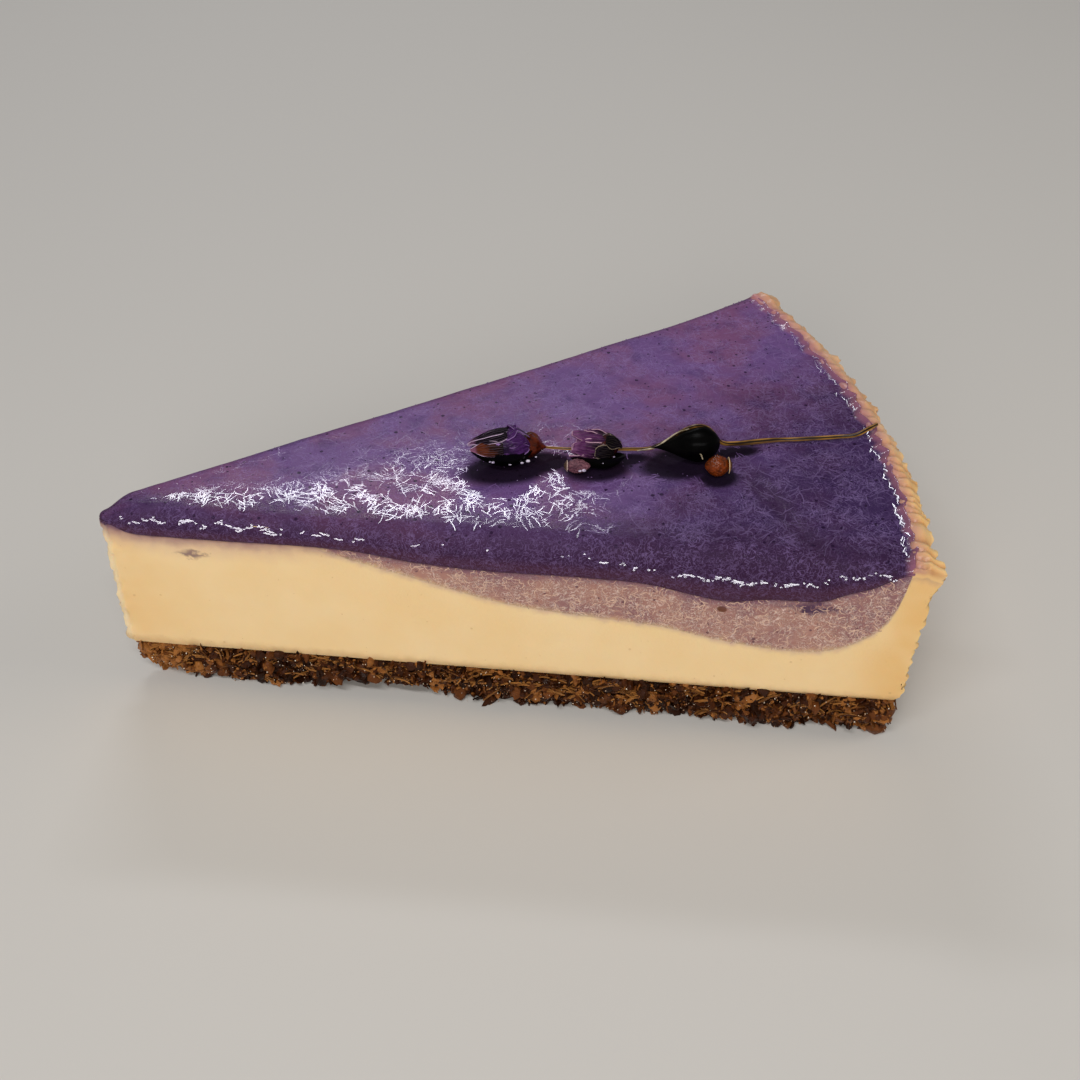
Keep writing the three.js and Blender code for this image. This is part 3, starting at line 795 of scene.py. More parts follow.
@dataclass(frozen=True)
class GlazeFinish(Finish):
    """Lavender glaze: wet, deep, mottled, with fine threads, flower specks, a darker bead and
    painted shade.
    """

    name: str = "lavender_glaze"
    stroke: bool = False
    lilac: Tint = tint(108, 77, 131)
    rosy: Tint = tint(120, 76, 116)
    dusk: Tint = tint(72, 49, 101)
    deep: Tint = tint(44, 28, 66)
    bead: Tint = tint(53, 31, 57)
    lip: Tint = tint(78, 44, 60)
    thread: Tint = tint(152, 126, 184)
    speck: Tint = tint(34, 16, 46)
    steep: Tint = tint(14, 6, 18)
    film: Tint = tint(150, 96, 118)

    def material(self) -> Material:
        """Build the material."""
        recipe = Recipe(self.name)
        clouds, specks = recipe.clouds, recipe.specks
        x, y = recipe.axis("X"), recipe.axis("Y")
        mottle = clouds(11, 4, distortion=0.4)
        # Deeper violet towards the near right: partly the glaze's own colour, partly painted shade
        # standing for weaker sheen there
        right = (x + y * -1.4 + (mottle - 0.5) * 60.0).ramp(8.0, 62.0)
        # It is darker towards the near cut, and painted shadow darkens the crease of its fold
        inwards = y * SLICE.cos + (x + SLICE.middle) * SLICE.sin
        brink = (inwards + (mottle - 0.5) * 6.0).ramp(8.5, 2.0)
        fold = abs(x + y * 0.2 - 30.6).ramp(3.4, 0.3) * y.ramp(-4.0, -11.0)
        threads = recipe.threads(1.5, 0.03, 1.0, 2.0).most(recipe.threads(1.0, 0.035, 5.0) * 0.8)
        threads = threads.most(recipe.threads(2.4, 0.018, 9.0) * 0.8)
        patches = clouds(5, 2, 3.0).ramp(0.38, 0.62)
        colour = recipe.layered(
            self.lilac,
            (mottle.ramp(0.4, 0.62), self.rosy),
            (clouds(3.2, 3, 13.0).ramp(0.45, 0.75) * 0.55, self.dusk),
            (right * 0.85, self.deep),
            (brink * 0.65, self.bead),
            (threads * (0.12 + 0.3 * patches), self.thread),
            # Painted shadow in the crease
            (fold * 0.45, self.bead),
        )
        if self.stroke:
            colour = recipe.mix(0.02 + recipe.stored("tone") * 0.26, colour, self.thread)
            return recipe.finish(Base_Color=colour, Roughness=0.12, Specular_IOR_Level=0.5)
        turn, steeped, film = (recipe.stored(name) for name in ("turn", "steeped", "film"))
        dots = specks(1.2, 0.3, 2.0, 0.7).most(specks(0.75, 0.17, 7.0, 0.6))
        colour = recipe.layered(
            colour,
            (dots * 0.85, self.speck),
            ((turn + (mottle - 0.5) * 0.5).ramp(1.0, 0.15) * 0.8, self.bead),
            (turn.ramp(0.25, -0.08) * 0.65, self.lip),
            (threads * turn.ramp(1.0, 0.3) * 0.22, self.thread),
            # Painted shadow round the sprig's buds
            (steeped, self.steep),
            (film, self.film),
        )
        matt = (steeped * 0.5).most(turn.ramp(1.0, 0.85) * 0.3)
        height = threads * 0.6 + clouds(0.8, 3, 4.0) * 0.8 - dots * 0.3
        broad = recipe.bump(clouds(3.0, 2, 6.0), 0.03)
        return recipe.finish(
            Base_Color=colour, Roughness=0.22 + patches * 0.06 + matt,
            Normal=recipe.bump(height, 0.025, Normal=broad), Specular_IOR_Level=0.09,
            Coat_Weight=film, Coat_Roughness=0.14, Subsurface_Weight=0.06,
            Subsurface_Radius=(0.6, 0.3, 0.8), Subsurface_Scale=0.001,
        )


class Bake(Enum):
    """The kinds of crumb in the base, which are baked to different tones."""

    CORE = "core"
    CRUMB = "crumb"
    FLAKE = "flake"
    SHRED = "shred"
    GLINT = "glint"


@dataclass(frozen=True)
class CrumbFinish(Finish):
    """Biscuit crumbs pressed with butter: dark brown with toasted and tan pieces."""

    bake: Bake
    burnt: Tint = tint(34, 14, 4)
    brown: Tint = tint(60, 28, 10)
    toast: Tint = tint(101, 56, 24)
    tan: Tint = tint(154, 98, 48)
    straw: Tint = tint(156, 104, 52)
    sugar: Tint = tint(250, 236, 214)

    def material(self) -> Material:
        """Build the material."""
        recipe = Recipe(f"crumb_{self.bake.value}")
        clouds = recipe.clouds(0.7, 3) * 0.45
        if self.bake is Bake.CORE:
            tone = (recipe.clouds(2.2, 2, 5.0).ramp(0.3, 0.75) + clouds - 0.25) * 0.5
        else:
            tone = recipe.stored("tone") + clouds - 0.22
        tone = tone + recipe.axis("X").ramp(-42.0, -52.0) * 0.4
        gloss = 0.2 + recipe.clouds(0.9, 2, 9.0).ramp(0.4, 0.65) * 0.4
        if self.bake is Bake.SHRED:
            colour = recipe.mix(tone.ramp(0.1, 0.9), self.brown, self.straw)
        elif self.bake is Bake.GLINT:
            colour = recipe.mix(tone, self.tan, self.sugar)
            gloss = 0.1 + clouds * 0.2
        else:
            colour = recipe.layered(
                self.burnt, (tone.ramp(0.0, 0.4), self.brown), (tone.ramp(0.4, 0.75), self.toast),
                (tone.ramp(0.72, 1.0), self.tan),
            )
        height = recipe.clouds(0.35, 4, 3.0, roughness=0.65)
        return recipe.finish(
            Base_Color=colour, Roughness=gloss, Normal=recipe.bump(height, 0.1),
            Specular_IOR_Level=0.18,
        )


@dataclass(frozen=True)
class PetalFinish(Finish):
    """Dried petals: dark towards their foot, veined along their length, pale at the edge (partly a
    painted highlight).
    """

    name: str
    heart: Tint
    leaf: Tint
    tip: Tint
    edge: Tint
    gloss: float = 0.34
    shine: float = 0.2

    def material(self) -> Material:
        """Build the material."""
        recipe = Recipe(self.name)
        along = recipe.stored("along")
        wander = recipe.clouds(0.9, 2, 3.0)
        veins = recipe.maths("SINE", recipe.stored("side") * 22.0 + wander * 5.0).ramp(0.6, 0.95)
        # Pale rims and crumpled ridges: partly their own colour, partly painted highlight
        edge = (recipe.stored("rim") + wander * 0.12 - 0.06).ramp(0.93, 0.985)
        colour = recipe.layered(
            self.heart,
            ((along + wander * 0.9 - 0.45).ramp(0.1, 0.7), self.leaf),
            ((along + wander * 0.2).ramp(0.85, 1.0), self.tip),
            (veins * 0.09, self.edge),
            (edge * 0.95, self.edge),
        )
        height = veins * 0.5 + recipe.clouds(0.4, 3)
        return recipe.finish(
            Base_Color=colour, Roughness=self.gloss, Normal=recipe.bump(height, 0.1),
            Specular_IOR_Level=self.shine,
        )


@dataclass(frozen=True)
class HuskFinish(Finish):
    """Dried husks, pods and stalks: a dark and a light tone, streaked along or knobbly."""

    name: str
    dark: Tint
    light: Tint
    gloss: float
    streak: float = 1.0
    fleck: float = 0.5
    lit: float = 0.0
    shine: float = 0.45

    def material(self) -> Material:
        """Build the material."""
        recipe = Recipe(self.name)
        stretched = recipe.vector("MULTIPLY", recipe.place, (1 / self.streak, 1.0, 1.0))
        tone = recipe.clouds(self.fleck, 3, place=stretched, roughness=0.6)
        broad = recipe.clouds(3.0, 2, 7.0)
        share = tone * 0.7 + broad * 0.5
        # Lit stalk: painted light and shade by the way round it, and darker over the pod and beyond
        # it
        if self.lit:
            x = recipe.axis("X")
            shaded = x.ramp(18.5, 21.0) * x.ramp(31.0, 29.5) * 0.2 + x.ramp(30.0, 31.5) * 0.14
            line = abs(recipe.stored("side") - 0.62).ramp(0.1, 0.36)
            share = share - self.lit - shaded + line * self.lit * 1.5
        return recipe.finish(
            Base_Color=recipe.mix(share.ramp(0.42, 0.78), self.dark, self.light),
            Roughness=self.gloss + broad * 0.12, Normal=recipe.bump(tone, 0.07),
            Specular_IOR_Level=self.shine,
        )


def dress(piece: Piece, finish: Finish, slot: str, *nodes: str) -> None:
    """Give a piece its finish, hang it under the root, and hide the solids that it replaces.

    Args:
        piece: The finished mesh object.
        finish: What it is made of.
        slot: The record's material slot; not used.
        *nodes: The solids that it replaces.
    """
    piece.data.materials.clear()
    piece.data.materials.append(made(finish))
    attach(piece, "root")
    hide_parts(*nodes)
    LOG.info("%s: %d faces", piece.name, len(piece.data.polygons))


# The filling and the layer in it


@dataclass(frozen=True)
class Knob:
    """A small knob of filling on the rim: where it sits, its size and how far it stands out."""

    across: float
    height: float
    size: float
    out: float

    def share(self, across: Number, height: Number) -> Number:
        """Return how much of the knob there is at a place of the outer wall, from 0 to 1."""
        along = (across - self.across) * SLICE.half_wedge * SLICE.radius / self.size
        away = along**2 + ((height - self.height) / self.size) ** 2
        return np.sqrt(np.maximum(1 - away, 0))


@dataclass(frozen=True)
class Block:
    """A closed block of small faces: walls on the cut faces, then a crest that turns inwards."""

    name: str
    stations: Rows
    columns: int
    wall: int
    crest: int = 4
    tuck: float = 0.75

    def spread(self) -> tuple[Piece, tuple[Rows, ...]]:
        """Make the block, with each vertex's radius, across, level, and share of the wall."""
        rows = len(self.stations) - 1
        piece = grid_block(self.name, rows, self.columns, self.wall + self.crest)
        row, column, level = points_of(piece).T
        radius, across = self.stations[row.astype(int)], 2 * column / self.columns - 1
        return piece, (radius, across, level, np.clip(level / self.wall, 0, 1))

    def crown(
        self, radius: Rows, across: Rows, level: Rows
    ) -> tuple[Rows, Rows, Rows]:
        """Return how far the crest has turned in, its inset and its height under the glaze."""
        turn = np.clip((level - self.wall) / self.crest, 0, 1)
        inset, height = SLICE.shoulder(radius, across, turn, self.tuck)
        return turn, np.maximum(inset, 0), height


@dataclass(frozen=True)
class Filling(Block):
    """Cream filling: straight cut faces, a hollow for the lavender layer, and a pleated rim."""

    name: str = "filling_cream"
    stations: Rows = field(default_factory=lambda: runs(
        (SLICE.nose_start, 21, 20), (21, 108, 58), (108, 110.8, 6), (110.8, 114.6, 19),
        (114.6, 115, 3),
    ))
    columns: int = 232
    wall: int = 44
    rim_start: float = 111.0
    rim_depth: float = 4.0
    knobs: tuple[Knob, ...] = (
        Knob(-0.985, 30.0, 2.3, 1.0), Knob(-0.95, 28.4, 1.0, 0.55), Knob(-0.88, 30.6, 0.9, 0.4),
        Knob(-0.7, 30.4, 0.8, 0.35), Knob(-0.47, 30.7, 0.7, 0.35), Knob(-0.2, 30.5, 0.7, 0.3),
        Knob(0.06, 30.7, 0.6, 0.3), Knob(0.26, 30.6, 0.7, 0.35), Knob(0.43, 30.8, 0.8, 0.6),
        Knob(0.62, 30.6, 0.6, 0.3), Knob(0.8, 30.7, 0.6, 0.3), Knob(0.96, 30.4, 2.2, 0.9),
    )

    def fold(self, radius: Number, across: Number) -> Number:
        """Return the rim's pleats, from 0 in a crevice to 1 on a ridge."""
        x, y = SLICE.plan(radius, across)
        share = (radius - self.rim_start) / self.rim_depth
        fan = across * (44 + 12 * ease(across, 0.2, -0.8)) + 2.4 * share
        pleat = np.abs(np.sin(fan + 2.2 * lumps(x, y, 4, 6.0))) ** 0.7
        return blend(0.75, pleat, 0.35 + 0.65 * ease(across, 0.3, -0.55))

    def rim(self, radius: Number, across: Number) -> Number:
        """Return the height of the rim's lumpy, pleated top."""
        x, y = SLICE.plan(radius, across)
        share = (radius - self.rim_start) / self.rim_depth
        rounding = ease(share, 0.62, 1.0) ** 1.5 + 0.95 * (1 - ease(share, 0.0, 0.36))
        bumps = 0.26 * lumps(x, y, 0, 2.3) + 0.13 * lumps(x, y, 9, 1.1)
        pleats = 0.62 * (self.fold(radius, across) - 0.75) * ease(share, 0.12, 0.4)
        lift = sum(0.5 * k.out * k.share(across, 30.5) for k in self.knobs)
        return SLICE.rim_level + 0.32 + bumps + pleats + lift * ease(share, 0.5, 0.8) - rounding

    def torn(self, x: Number, y: Number, z: Number) -> Number:
        """Return how far the outer wall stands out where it tore away from the baking ring."""
        steps = (0.52 * z + 0.9 * lumps(x, y, 0.3 * z, 5.0) + 0.4 * lumps(y, x, z, 1.9)) % 1.0
        return 0.62 * (steps - 0.5) + 0.3 * lumps(x, y, z, 1.9) + 0.16 * lumps(y, z, x, 0.9)

    def build(self) -> Piece:
        """Shape the filling."""
        piece, (radius, across, level, share) = self.spread()
        under = 1 - ease(radius, 111.2, 111.9)
        bowl = SLICE.hollow(radius, across)
        rim = self.rim(radius, across)
        edge = SLICE.glaze_edge(radius, across)
        # Cut face and outer wall, and from the top of the wall inwards
        lip = blend(rim - 0.5, np.minimum(edge + 0.15, bowl), under)
        turn, inset, shoulder = self.crown(radius, across, level)
        top = blend(rim - 0.5 * (1 - turn) ** 2, np.minimum(shoulder, bowl), under)
        height = np.where(level > self.wall, top, blend(SLICE.foot, lip, share))
        x, y = SLICE.plan(radius, across, np.where(level > self.wall, inset * under, 0))
        # The outer wall is ragged
        out = self.torn(x, y, height) * np.where(level < self.wall + self.crest, 1, 0.6)
        out = out + sum(k.out * k.share(across, height) for k in self.knobs)
        out = out * ease(radius, SLICE.radius - 0.9, SLICE.radius)
        x, y, _ = SLICE.wall(x, y, radius, across, height, 0.9, out)
        # The nose is nicked where the knife left it, and the foot is drawn in
        nose = ease(radius, SLICE.nose_start + 1.6, SLICE.nose_start)
        x = x + nose * (0.3 * lumps(y, height, x, 1.3) + 0.16 * lumps(height, y, x, 0.6))
        y = y * (1 - 0.012 * ease(height, SLICE.foot + 0.9, SLICE.foot) ** 2)
        ripple = 0.05 * lumps(x, y, height, 7.0) * ease(np.abs(across), 0.9, 1.0)
        move_points(piece, SLICE.to_frame(x, y + ripple, height))
        on_rim = (1 - under) * ease(height, rim - 1.3, rim - 0.5)
        below = blend(rim - 0.5 - height, edge - height, under) + on_rim * 9.0
        mark(
            piece, above=blend(-9.0, height - bowl, under), under=below, rim=on_rim,
            fold=self.fold(radius, across), reach=np.hypot(x, y),
        )
        return close_up(piece)


@dataclass(frozen=True)
class LavenderLayer(Block):
    """Mauve layer that fills the hollow up to the glaze."""

    name: str = "layer_lavender"
    stations: Rows = field(default_factory=lambda: runs((25, 108, 83), (108, 111.9, 10)))
    columns: int = 60
    wall: int = 8

    def build(self) -> Piece:
        """Shape the layer."""
        piece, (radius, across, level, share) = self.spread()
        bowl = SLICE.hollow(radius, across)
        edge = SLICE.glaze_edge(radius, across)
        lip = edge + 0.15
        _, inset, shoulder = self.crown(radius, across, level)
        wall = blend(np.minimum(bowl, lip), lip, share)
        height = np.where(level > self.wall, shoulder, wall)
        # The underside follows the hollow all the way across
        inside = (level == 0) & (np.abs(across) < 1)
        height = np.where(inside, np.minimum(bowl, SLICE.glaze_top(radius, across) - 0.9), height)
        x, y = SLICE.plan(radius, across, np.where(level > self.wall, inset, -0.015))
        x, y, ripple = SLICE.wall(x, y, radius, across, height)
        move_points(piece, SLICE.to_frame(x, y + ripple, height))
        mark(piece, above=height - bowl, under=edge - height)
        return close_up(piece)


# The glaze and what shines on it


@dataclass(frozen=True)
class ShadowPool:
    """A painted shadow round a bud, which darkens the glaze's colour there."""

    x: float
    y: float
    along: float
    wide: float

    def share(self, x: Number, y: Number) -> Number:
        """Return how much painted shadow darkens the glaze at a place, from 0 to 1."""
        return 1 - ease(np.hypot((x - self.x) / self.along, (y - self.y) / self.wide), 0.9, 1.5)


@dataclass(frozen=True)
class Glaze:
    """Glossy glaze over the top, which laps over the cut edges and climbs the foot of the rim."""

    stations: Rows = field(default_factory=lambda: runs(
        (SLICE.nose_start, 16, 20), (16, 106, 120), (106, 110.4, 10), (110.4, 112.4, 20),
    ))
    columns: int = 150
    skirt: int = 14
    climb: float = 0.6
    shell: float = 0.35
    # Painted shadows round the sprig's buds, reaching towards the near side
    shadow_pools: tuple[ShadowPool, ...] = (
        ShadowPool(59.2, -3.1, 5.6, 2.9), ShadowPool(64.6, -2.6, 3.2, 2.0), ShadowPool(71.6, -5.0, 4.3, 2.9),
        ShadowPool(76.0, -4.2, 3.0, 1.2), ShadowPool(83.4, -6.6, 5.2, 3.1), ShadowPool(87.4, -10.8, 2.4, 1.9),
        ShadowPool(91.5, -5.6, 3.0, 1.1),
    )

    def sheet(self) -> Piece:
        """Make a flat sheet of small faces, with a skirt at the nose and the cut edges."""
        piece = sheet("glaze_lavender", len(self.stations) - 1, self.columns)
        with editing(piece, "DESELECT"):
            bpy.ops.mesh.select_mode(type="EDGE")
        brim = 0.4999
        flat = points_of(piece)
        for edge in piece.data.edges:
            a, b = (flat[i] for i in edge.vertices)
            on_cut = abs(a[1]) > brim and abs(b[1]) > brim and a[1] * b[1] > 0
            edge.select = (a[0] < -brim and b[0] < -brim) or on_cut
        bpy.ops.object.mode_set(mode="EDIT")
        extruded(self.skirt, -1)
        bpy.ops.mesh.select_mode(type="VERT")
        bpy.ops.object.mode_set(mode="OBJECT")
        return piece

    def build(self) -> Piece:
        """Drape the sheet over the top and give it its thickness."""
        piece = self.sheet()
        row, column, down = (points_of(piece) * [1, 1, -1]).T
        row = (row + 0.5) * (len(self.stations) - 1)
        radius = self.stations[np.round(row).astype(int)]
        across = 2 * np.clip(column, -0.5, 0.5)
        # Its outer edge wanders in and out along the rim
        x, y = SLICE.plan(radius, across)
        saw = np.abs((y * 0.27 + 0.4 * lumps(x, y, 3, 5.0)) % 1.0 - 0.5) * 2 - 0.5
        wander = 0.42 * lumps(x, y, 6, 3.1) + 0.3 * lumps(y, x, 2, 1.5) + 0.5 * saw
        radius = radius + wander * ease(radius, 107.0, 110.4)
        # The last levels of the skirt are the lip, the others the shoulder
        turn = np.clip(1 - down / (self.skirt - 3), 0, 1)
        tuck = np.clip(down - (self.skirt - 3), 0, 3)
        inset, height = SLICE.shoulder(radius, across, turn)
        edge = SLICE.glaze_edge(radius, across)
        flush = ease(radius, 107.0, 111.5)
        lip = tuck.astype(int)
        height = np.choose(lip, [height, edge + 0.35, edge + 0.06, edge])
        inset = inset + np.choose(lip, [0.0, 0.0, 0.13, 0.4])
        x, y = SLICE.plan(radius, across, inset + flush * 0.33 * (1 - turn))
        grains = grain(np.column_stack([x, y, height]), 2.4, 9.0)
        rise = np.clip((radius - wander - 111.1) / 1.2, 0, 1)
        height = height + SLICE.relief(x, y) * ease(turn, 0.5, 1.0) + turn * rise**2 * self.climb
        bead = 0.07 * grains * ease(turn, 1.0, 0.6) * (1 - flush)
        y = y + np.clip(4 * across, -1, 1) * bead
        move_points(piece, SLICE.to_frame(x, y, height))
        # Painted shadow round the buds, stored for the finish
        dark = np.max([pool.share(x, y) for pool in self.shadow_pools], axis=0)
        film = ease(rise, 0.1, 0.9) * 0.85
        mark(piece, turn=turn - 0.06 * tuck, film=film, steeped=0.95 * dark * turn)
        close_up(piece)
        # The open sheet's faces have to look up before it gets its thickness
        if sum(face.normal.z * face.area for face in piece.data.polygons) < 0:
            with editing(piece):
                bpy.ops.mesh.flip_normals()
        shell = {"thickness": self.shell * MM, "offset": -1.0, "use_even_offset": False}
        apply_modifier(piece, "SOLIDIFY", use_rim=True, **shell)
        return piece


@dataclass(frozen=True)
class Strips:
    """Many low strips, cast from a few models that curl differently."""

    wide: float
    raised: float
    curls: tuple[float, ...]

    def model(self, curl: float, sway: float = 0.0) -> Piece:
        """Model a flat-topped strip along X, 1 millimetre long, with its foot out of sight.

        Args:
            curl: How strongly it bends.
            sway: Where along it a slight wave starts.

        Returns:
            The strip.
        """
        strip = grid_block("strip", 4, 1, 1)
        along, side, top = (points_of(strip) * [0.25, 1, 1] - [0, 0.5, 0]).T
        taper = 0.45 + 0.55 * np.sin(math.pi * (0.08 + 0.84 * along))
        bend = curl * (along - 0.5) ** 2 + 0.05 * np.sin(9 * along + sway)
        width = self.wide * np.where(top > 0, 1.0, 1.7)
        height = np.where(top > 0, self.raised, -0.08)
        move_points(strip, along - 0.5, bend + width * side * taper, height)
        return strip

    def mould(self, name: str, random: Dice) -> Mould:
        """Model a strip for each curl, with its own sway, and return their mould."""
        return Mould(name, [self.model(curl, random.uniform(0, 6)) for curl in self.curls])


@dataclass(frozen=True)
class Strokes(Strips):
    """Flat glossy wrinkles and fibres in the glaze's skin, which flash where the light falls."""

    wide: float = 0.15
    raised: float = 0.03
    curls: tuple[float, ...] = (0.05, 0.2, -0.3, 0.55, -0.8, 1.1, 0.4, -0.15)
    count: int = 5000

    def build(self, random: Dice, shadow_pools: Sequence[ShadowPool]) -> Piece:
        """Scatter the strips over the glaze, in loose bunches that keep clear of the painted
        shadows.
        """
        mould = self.mould("glaze_strokes", random)
        placed = 0
        while placed < self.count:
            radius = math.sqrt(random.uniform(9.0**2, 110.0**2))
            half = SLICE.half(radius) - 2.5
            y = random.uniform(-half + 0.9, half) if half > 1 else 0.0
            x = math.sqrt(radius * radius - y * y)
            if any(pool.share(x, y) > 0.25 for pool in shadow_pools):
                continue
            heading = random.uniform(0, math.pi)
            bunch = int(random.integers(1, 8))
            for n in range(bunch):
                shift = random.normal(0, 0.3, 2)
                off = (n - bunch / 2) * 0.4
                spot = (x - off * math.sin(heading) + shift[0],
                        y + off * math.cos(heading) + shift[1], 0)
                length = random.uniform(0.7, 2.7)
                tilt = np.radians(random.normal(0, 0.4, 2))
                turn = Euler((*tilt, heading + random.normal(0, 0.3)))
                if random.random() < 0.3:
                    turn.z += math.pi / 2
                size = (length, random.uniform(0.7, 1.15), 1.0)
                mould.cast(placed, spot, size, turn, random.random())
                placed += 1
        return mould.piece(smooth=20, ground=SLICE.glaze_at)


@dataclass(frozen=True)
class Fibres(Strips):
    """Fine curled fibres on the lavender layer's cut faces."""

    wide: float = 0.1
    raised: float = 0.035
    curls: tuple[float, ...] = (0.7, -1.0, 1.5, -1.9, 2.4, 1.1)
    count: int = 2600

    def build(self, random: Dice) -> Piece:
        """Scatter the fibres over both cut faces, where the layer shows."""
        mould = self.mould("layer_fibres", random)
        for n in range(self.count):
            radius = random.uniform(27, 111)
            side = -1 if random.random() < 0.6 else 1
            low = SLICE.hollow(radius, side) + 0.3
            high = SLICE.glaze_edge(radius, side) - 0.2
            if random.uniform(0, 10.5) > high - low:
                continue
            height = random.uniform(low, high)
            x, y = SLICE.plan(radius, side, -0.015)
            x, y, ripple = SLICE.wall(x, y, radius, side, height)
            cos, sin = SLICE.cos, side * SLICE.sin
            normal = (-side * sin, side * cos, 0.0)
            turn = facing((cos, sin, 0.0), normal, random.uniform(0, 2 * math.pi))
            size = (random.uniform(0.5, 1.5), 1.0, 1.0)
            mould.cast(n, (x, y + ripple, height), size, turn, random.random())
        return mould.piece(smooth=20)


@dataclass(frozen=True)
class Ripples(Strips):
    """Small glossy ripples on the glaze's near bead and up the foot of the rim."""

    wide: float = 0.2
    raised: float = 0.1
    curls: tuple[float, ...] = (0.0, 0.15, -0.2)
    lean: float = 18.5
    half_arc: float = 36.0
    # How high on the near bead they lie
    line: Curve = Curve((
        (5, 29.8), (28, 29.9), (40, 29.4), (66, 29.3), (74, 28.8), (79, 27.8), (88, 27.3),
        (96, 27.4), (101, 28.2), (105, 29.5), (111, 29.9),
    ))
    # From and to which distance from the pole, and how many
    bead: tuple[tuple[float, float, int], ...] = (
        (6.5, 13, 12), (14.8, 16.6, 12), (17, 28, 34), (28, 40, 12), (44, 58, 3), (66, 79, 12),
        (81, 92, 38), (88, 104, 44), (103, 110, 16),
    )
    # From and to which across, and how many
    rim: tuple[tuple[float, float, int], ...] = (
        (-0.95, -0.1, 30), (-0.9, -0.6, 10), (0.02, 0.16, 5), (0.22, 0.4, 7), (0.4, 0.93, 24),
    )

    def on_bead(self, mould: Mould, n: int, radius: float, random: Dice) -> None:
        """Cast a dot or a dash of the wavy broken line along the near bead."""
        cos, sin = SLICE.cos, SLICE.sin
        top = SLICE.glaze_top(radius, -1)
        drop = SLICE.rounding * (top - SLICE.glaze_edge(radius, -1))
        height = self.line.at(radius) + 0.3 * math.sin(1.3 * radius) + random.normal(0, 0.12)
        share = min(max(1 - (top - height) / drop, 0.0), 0.97)
        inset, _ = SLICE.shoulder(radius, -1, math.asin(share) / (math.pi / 2))
        x, y = SLICE.plan(radius, -1, inset)
        tilt = math.radians(38.6 + 0.0225 * radius) + math.radians(random.normal(0, 0.8))
        out = math.sin(tilt)
        dash = random.random() < 0.4
        length = random.uniform(0.6, 1.3) if dash else random.uniform(0.22, 0.4)
        normal = (-out * sin, -out * cos, math.cos(tilt))
        turn = facing((cos, -sin, 0.0), normal, random.normal(0, 0.3))
        mould.cast(n, (x, y, height), (length, 1.0, 1.0), turn, 0.5)

    def on_rim(
        self, mould: Mould, n: int, across: float, spread: float, random: Dice
    ) -> None:
        """Cast a strip of the zigzag up the foot of the rim.

        Args:
            mould: The strips.
            n: Which of a stretch's strips it is.
            across: Where it lies.
            spread: Millimetres between neighbouring strips.
            random: Where the random numbers come from.
        """
        cos, sin = math.cos(SLICE.half_wedge * across), math.sin(SLICE.half_wedge * across)
        radius = 111.3 + 0.4 * math.sin(31 * across) + random.normal(0, 0.12)
        tilt = math.radians(self.lean + random.normal(0, 1.5))
        normal = (-math.sin(tilt) * cos, -math.sin(tilt) * sin, math.cos(tilt))
        height = SLICE.glaze_top(radius, across) + max(0.0, radius - 111.1) ** 2 * 0.4
        spin = (0.5 if n % 2 else -0.35) * random.uniform(0.3, 1.3)
        turn = facing((-sin, cos, 0.0), normal, spin)
        size = (spread * random.uniform(0.8, 1.4), random.uniform(0.5, 1.0), 1.0)
        mould.cast(n, (radius * cos, radius * sin, height), size, turn, 0.5)

    def build(self, random: Dice) -> Piece:
        """Model the ripples and cast them along the bead and the rim."""
        mould = Mould("glaze_ripples", [self.model(curl) for curl in self.curls])
        for start, end, count in self.bead:
            for n in range(count):
                self.on_bead(mould, n, random.uniform(start, end), random)
        for start, end, count in self.rim:
            for n in range(count):
                across = blend(start, end, (n + random.uniform(0.3, 0.7)) / count)
                self.on_rim(mould, n, across, abs(end - start) * self.half_arc / count, random)
        return mould.piece(smooth=20)


@dataclass(frozen=True)
class Bubbles:
    """Tiny bubbles on the glaze, which catch the light as dots."""

    count: int = 600

    def build(self, random: Dice) -> Piece:
        """Scatter domes over the glaze, more of them along the cut edges."""
        mould = Mould("glaze_bubbles", [ball("bubble", 7, 5)])
        for n in range(self.count):
            radius = math.sqrt(random.uniform(9.0**2, 110.5**2))
            across = random.uniform(-0.97, 0.97)
            turn = random.uniform(0.25, 0.9) if n % 3 == 0 else 1.0
            across = math.copysign(1, across) if turn < 1 else across
            inset, height = SLICE.shoulder(radius, across, turn)
            x, y = SLICE.plan(radius, across, inset)
            size = random.uniform(0.05, 0.1) * (1.5 if n % 17 == 0 else 1)
            height = height + SLICE.relief(x, y) * (turn == 1)
            mould.cast(0, (x, y, height), (size, size, 0.8 * size), Euler(), random.random())
        return mould.piece()


# The crumb base


@dataclass(frozen=True)
class Heap:
    """One kind of crumb on the base: its models, how many, and from and to which sizes."""

    name: str
    bake: Bake
    kinds: int
    count: int
    sizes: tuple[float, float]
    out: tuple[float, float]
    detail: int = 0

    def shape(self, n: int, random: Dice) -> Piece:
        """Model one irregular crumb, a millimetre in radius, from a faceted ball."""
        sphere = bpy.ops.mesh.primitive_ico_sphere_add
        model = started("crumb", sphere, subdivisions=self.detail, radius=1)
        points = points_of(model)
        rough = 0.16 * random.uniform(-1, 1, len(points))
        grow = 1 + 0.42 * grain(points + 7.0 * n, 1.1, 1.0 + n) + rough
        squash = np.array([1.0, random.uniform(0.7, 1.0), random.uniform(0.5, 0.9)])
        move_points(model, points * grow[:, None] * squash)
        return model

    def mould(self, random: Dice) -> Mould:
        """Model the kinds, and return their mould."""
        return Mould(self.name, [self.shape(n, random) for n in range(self.kinds)])


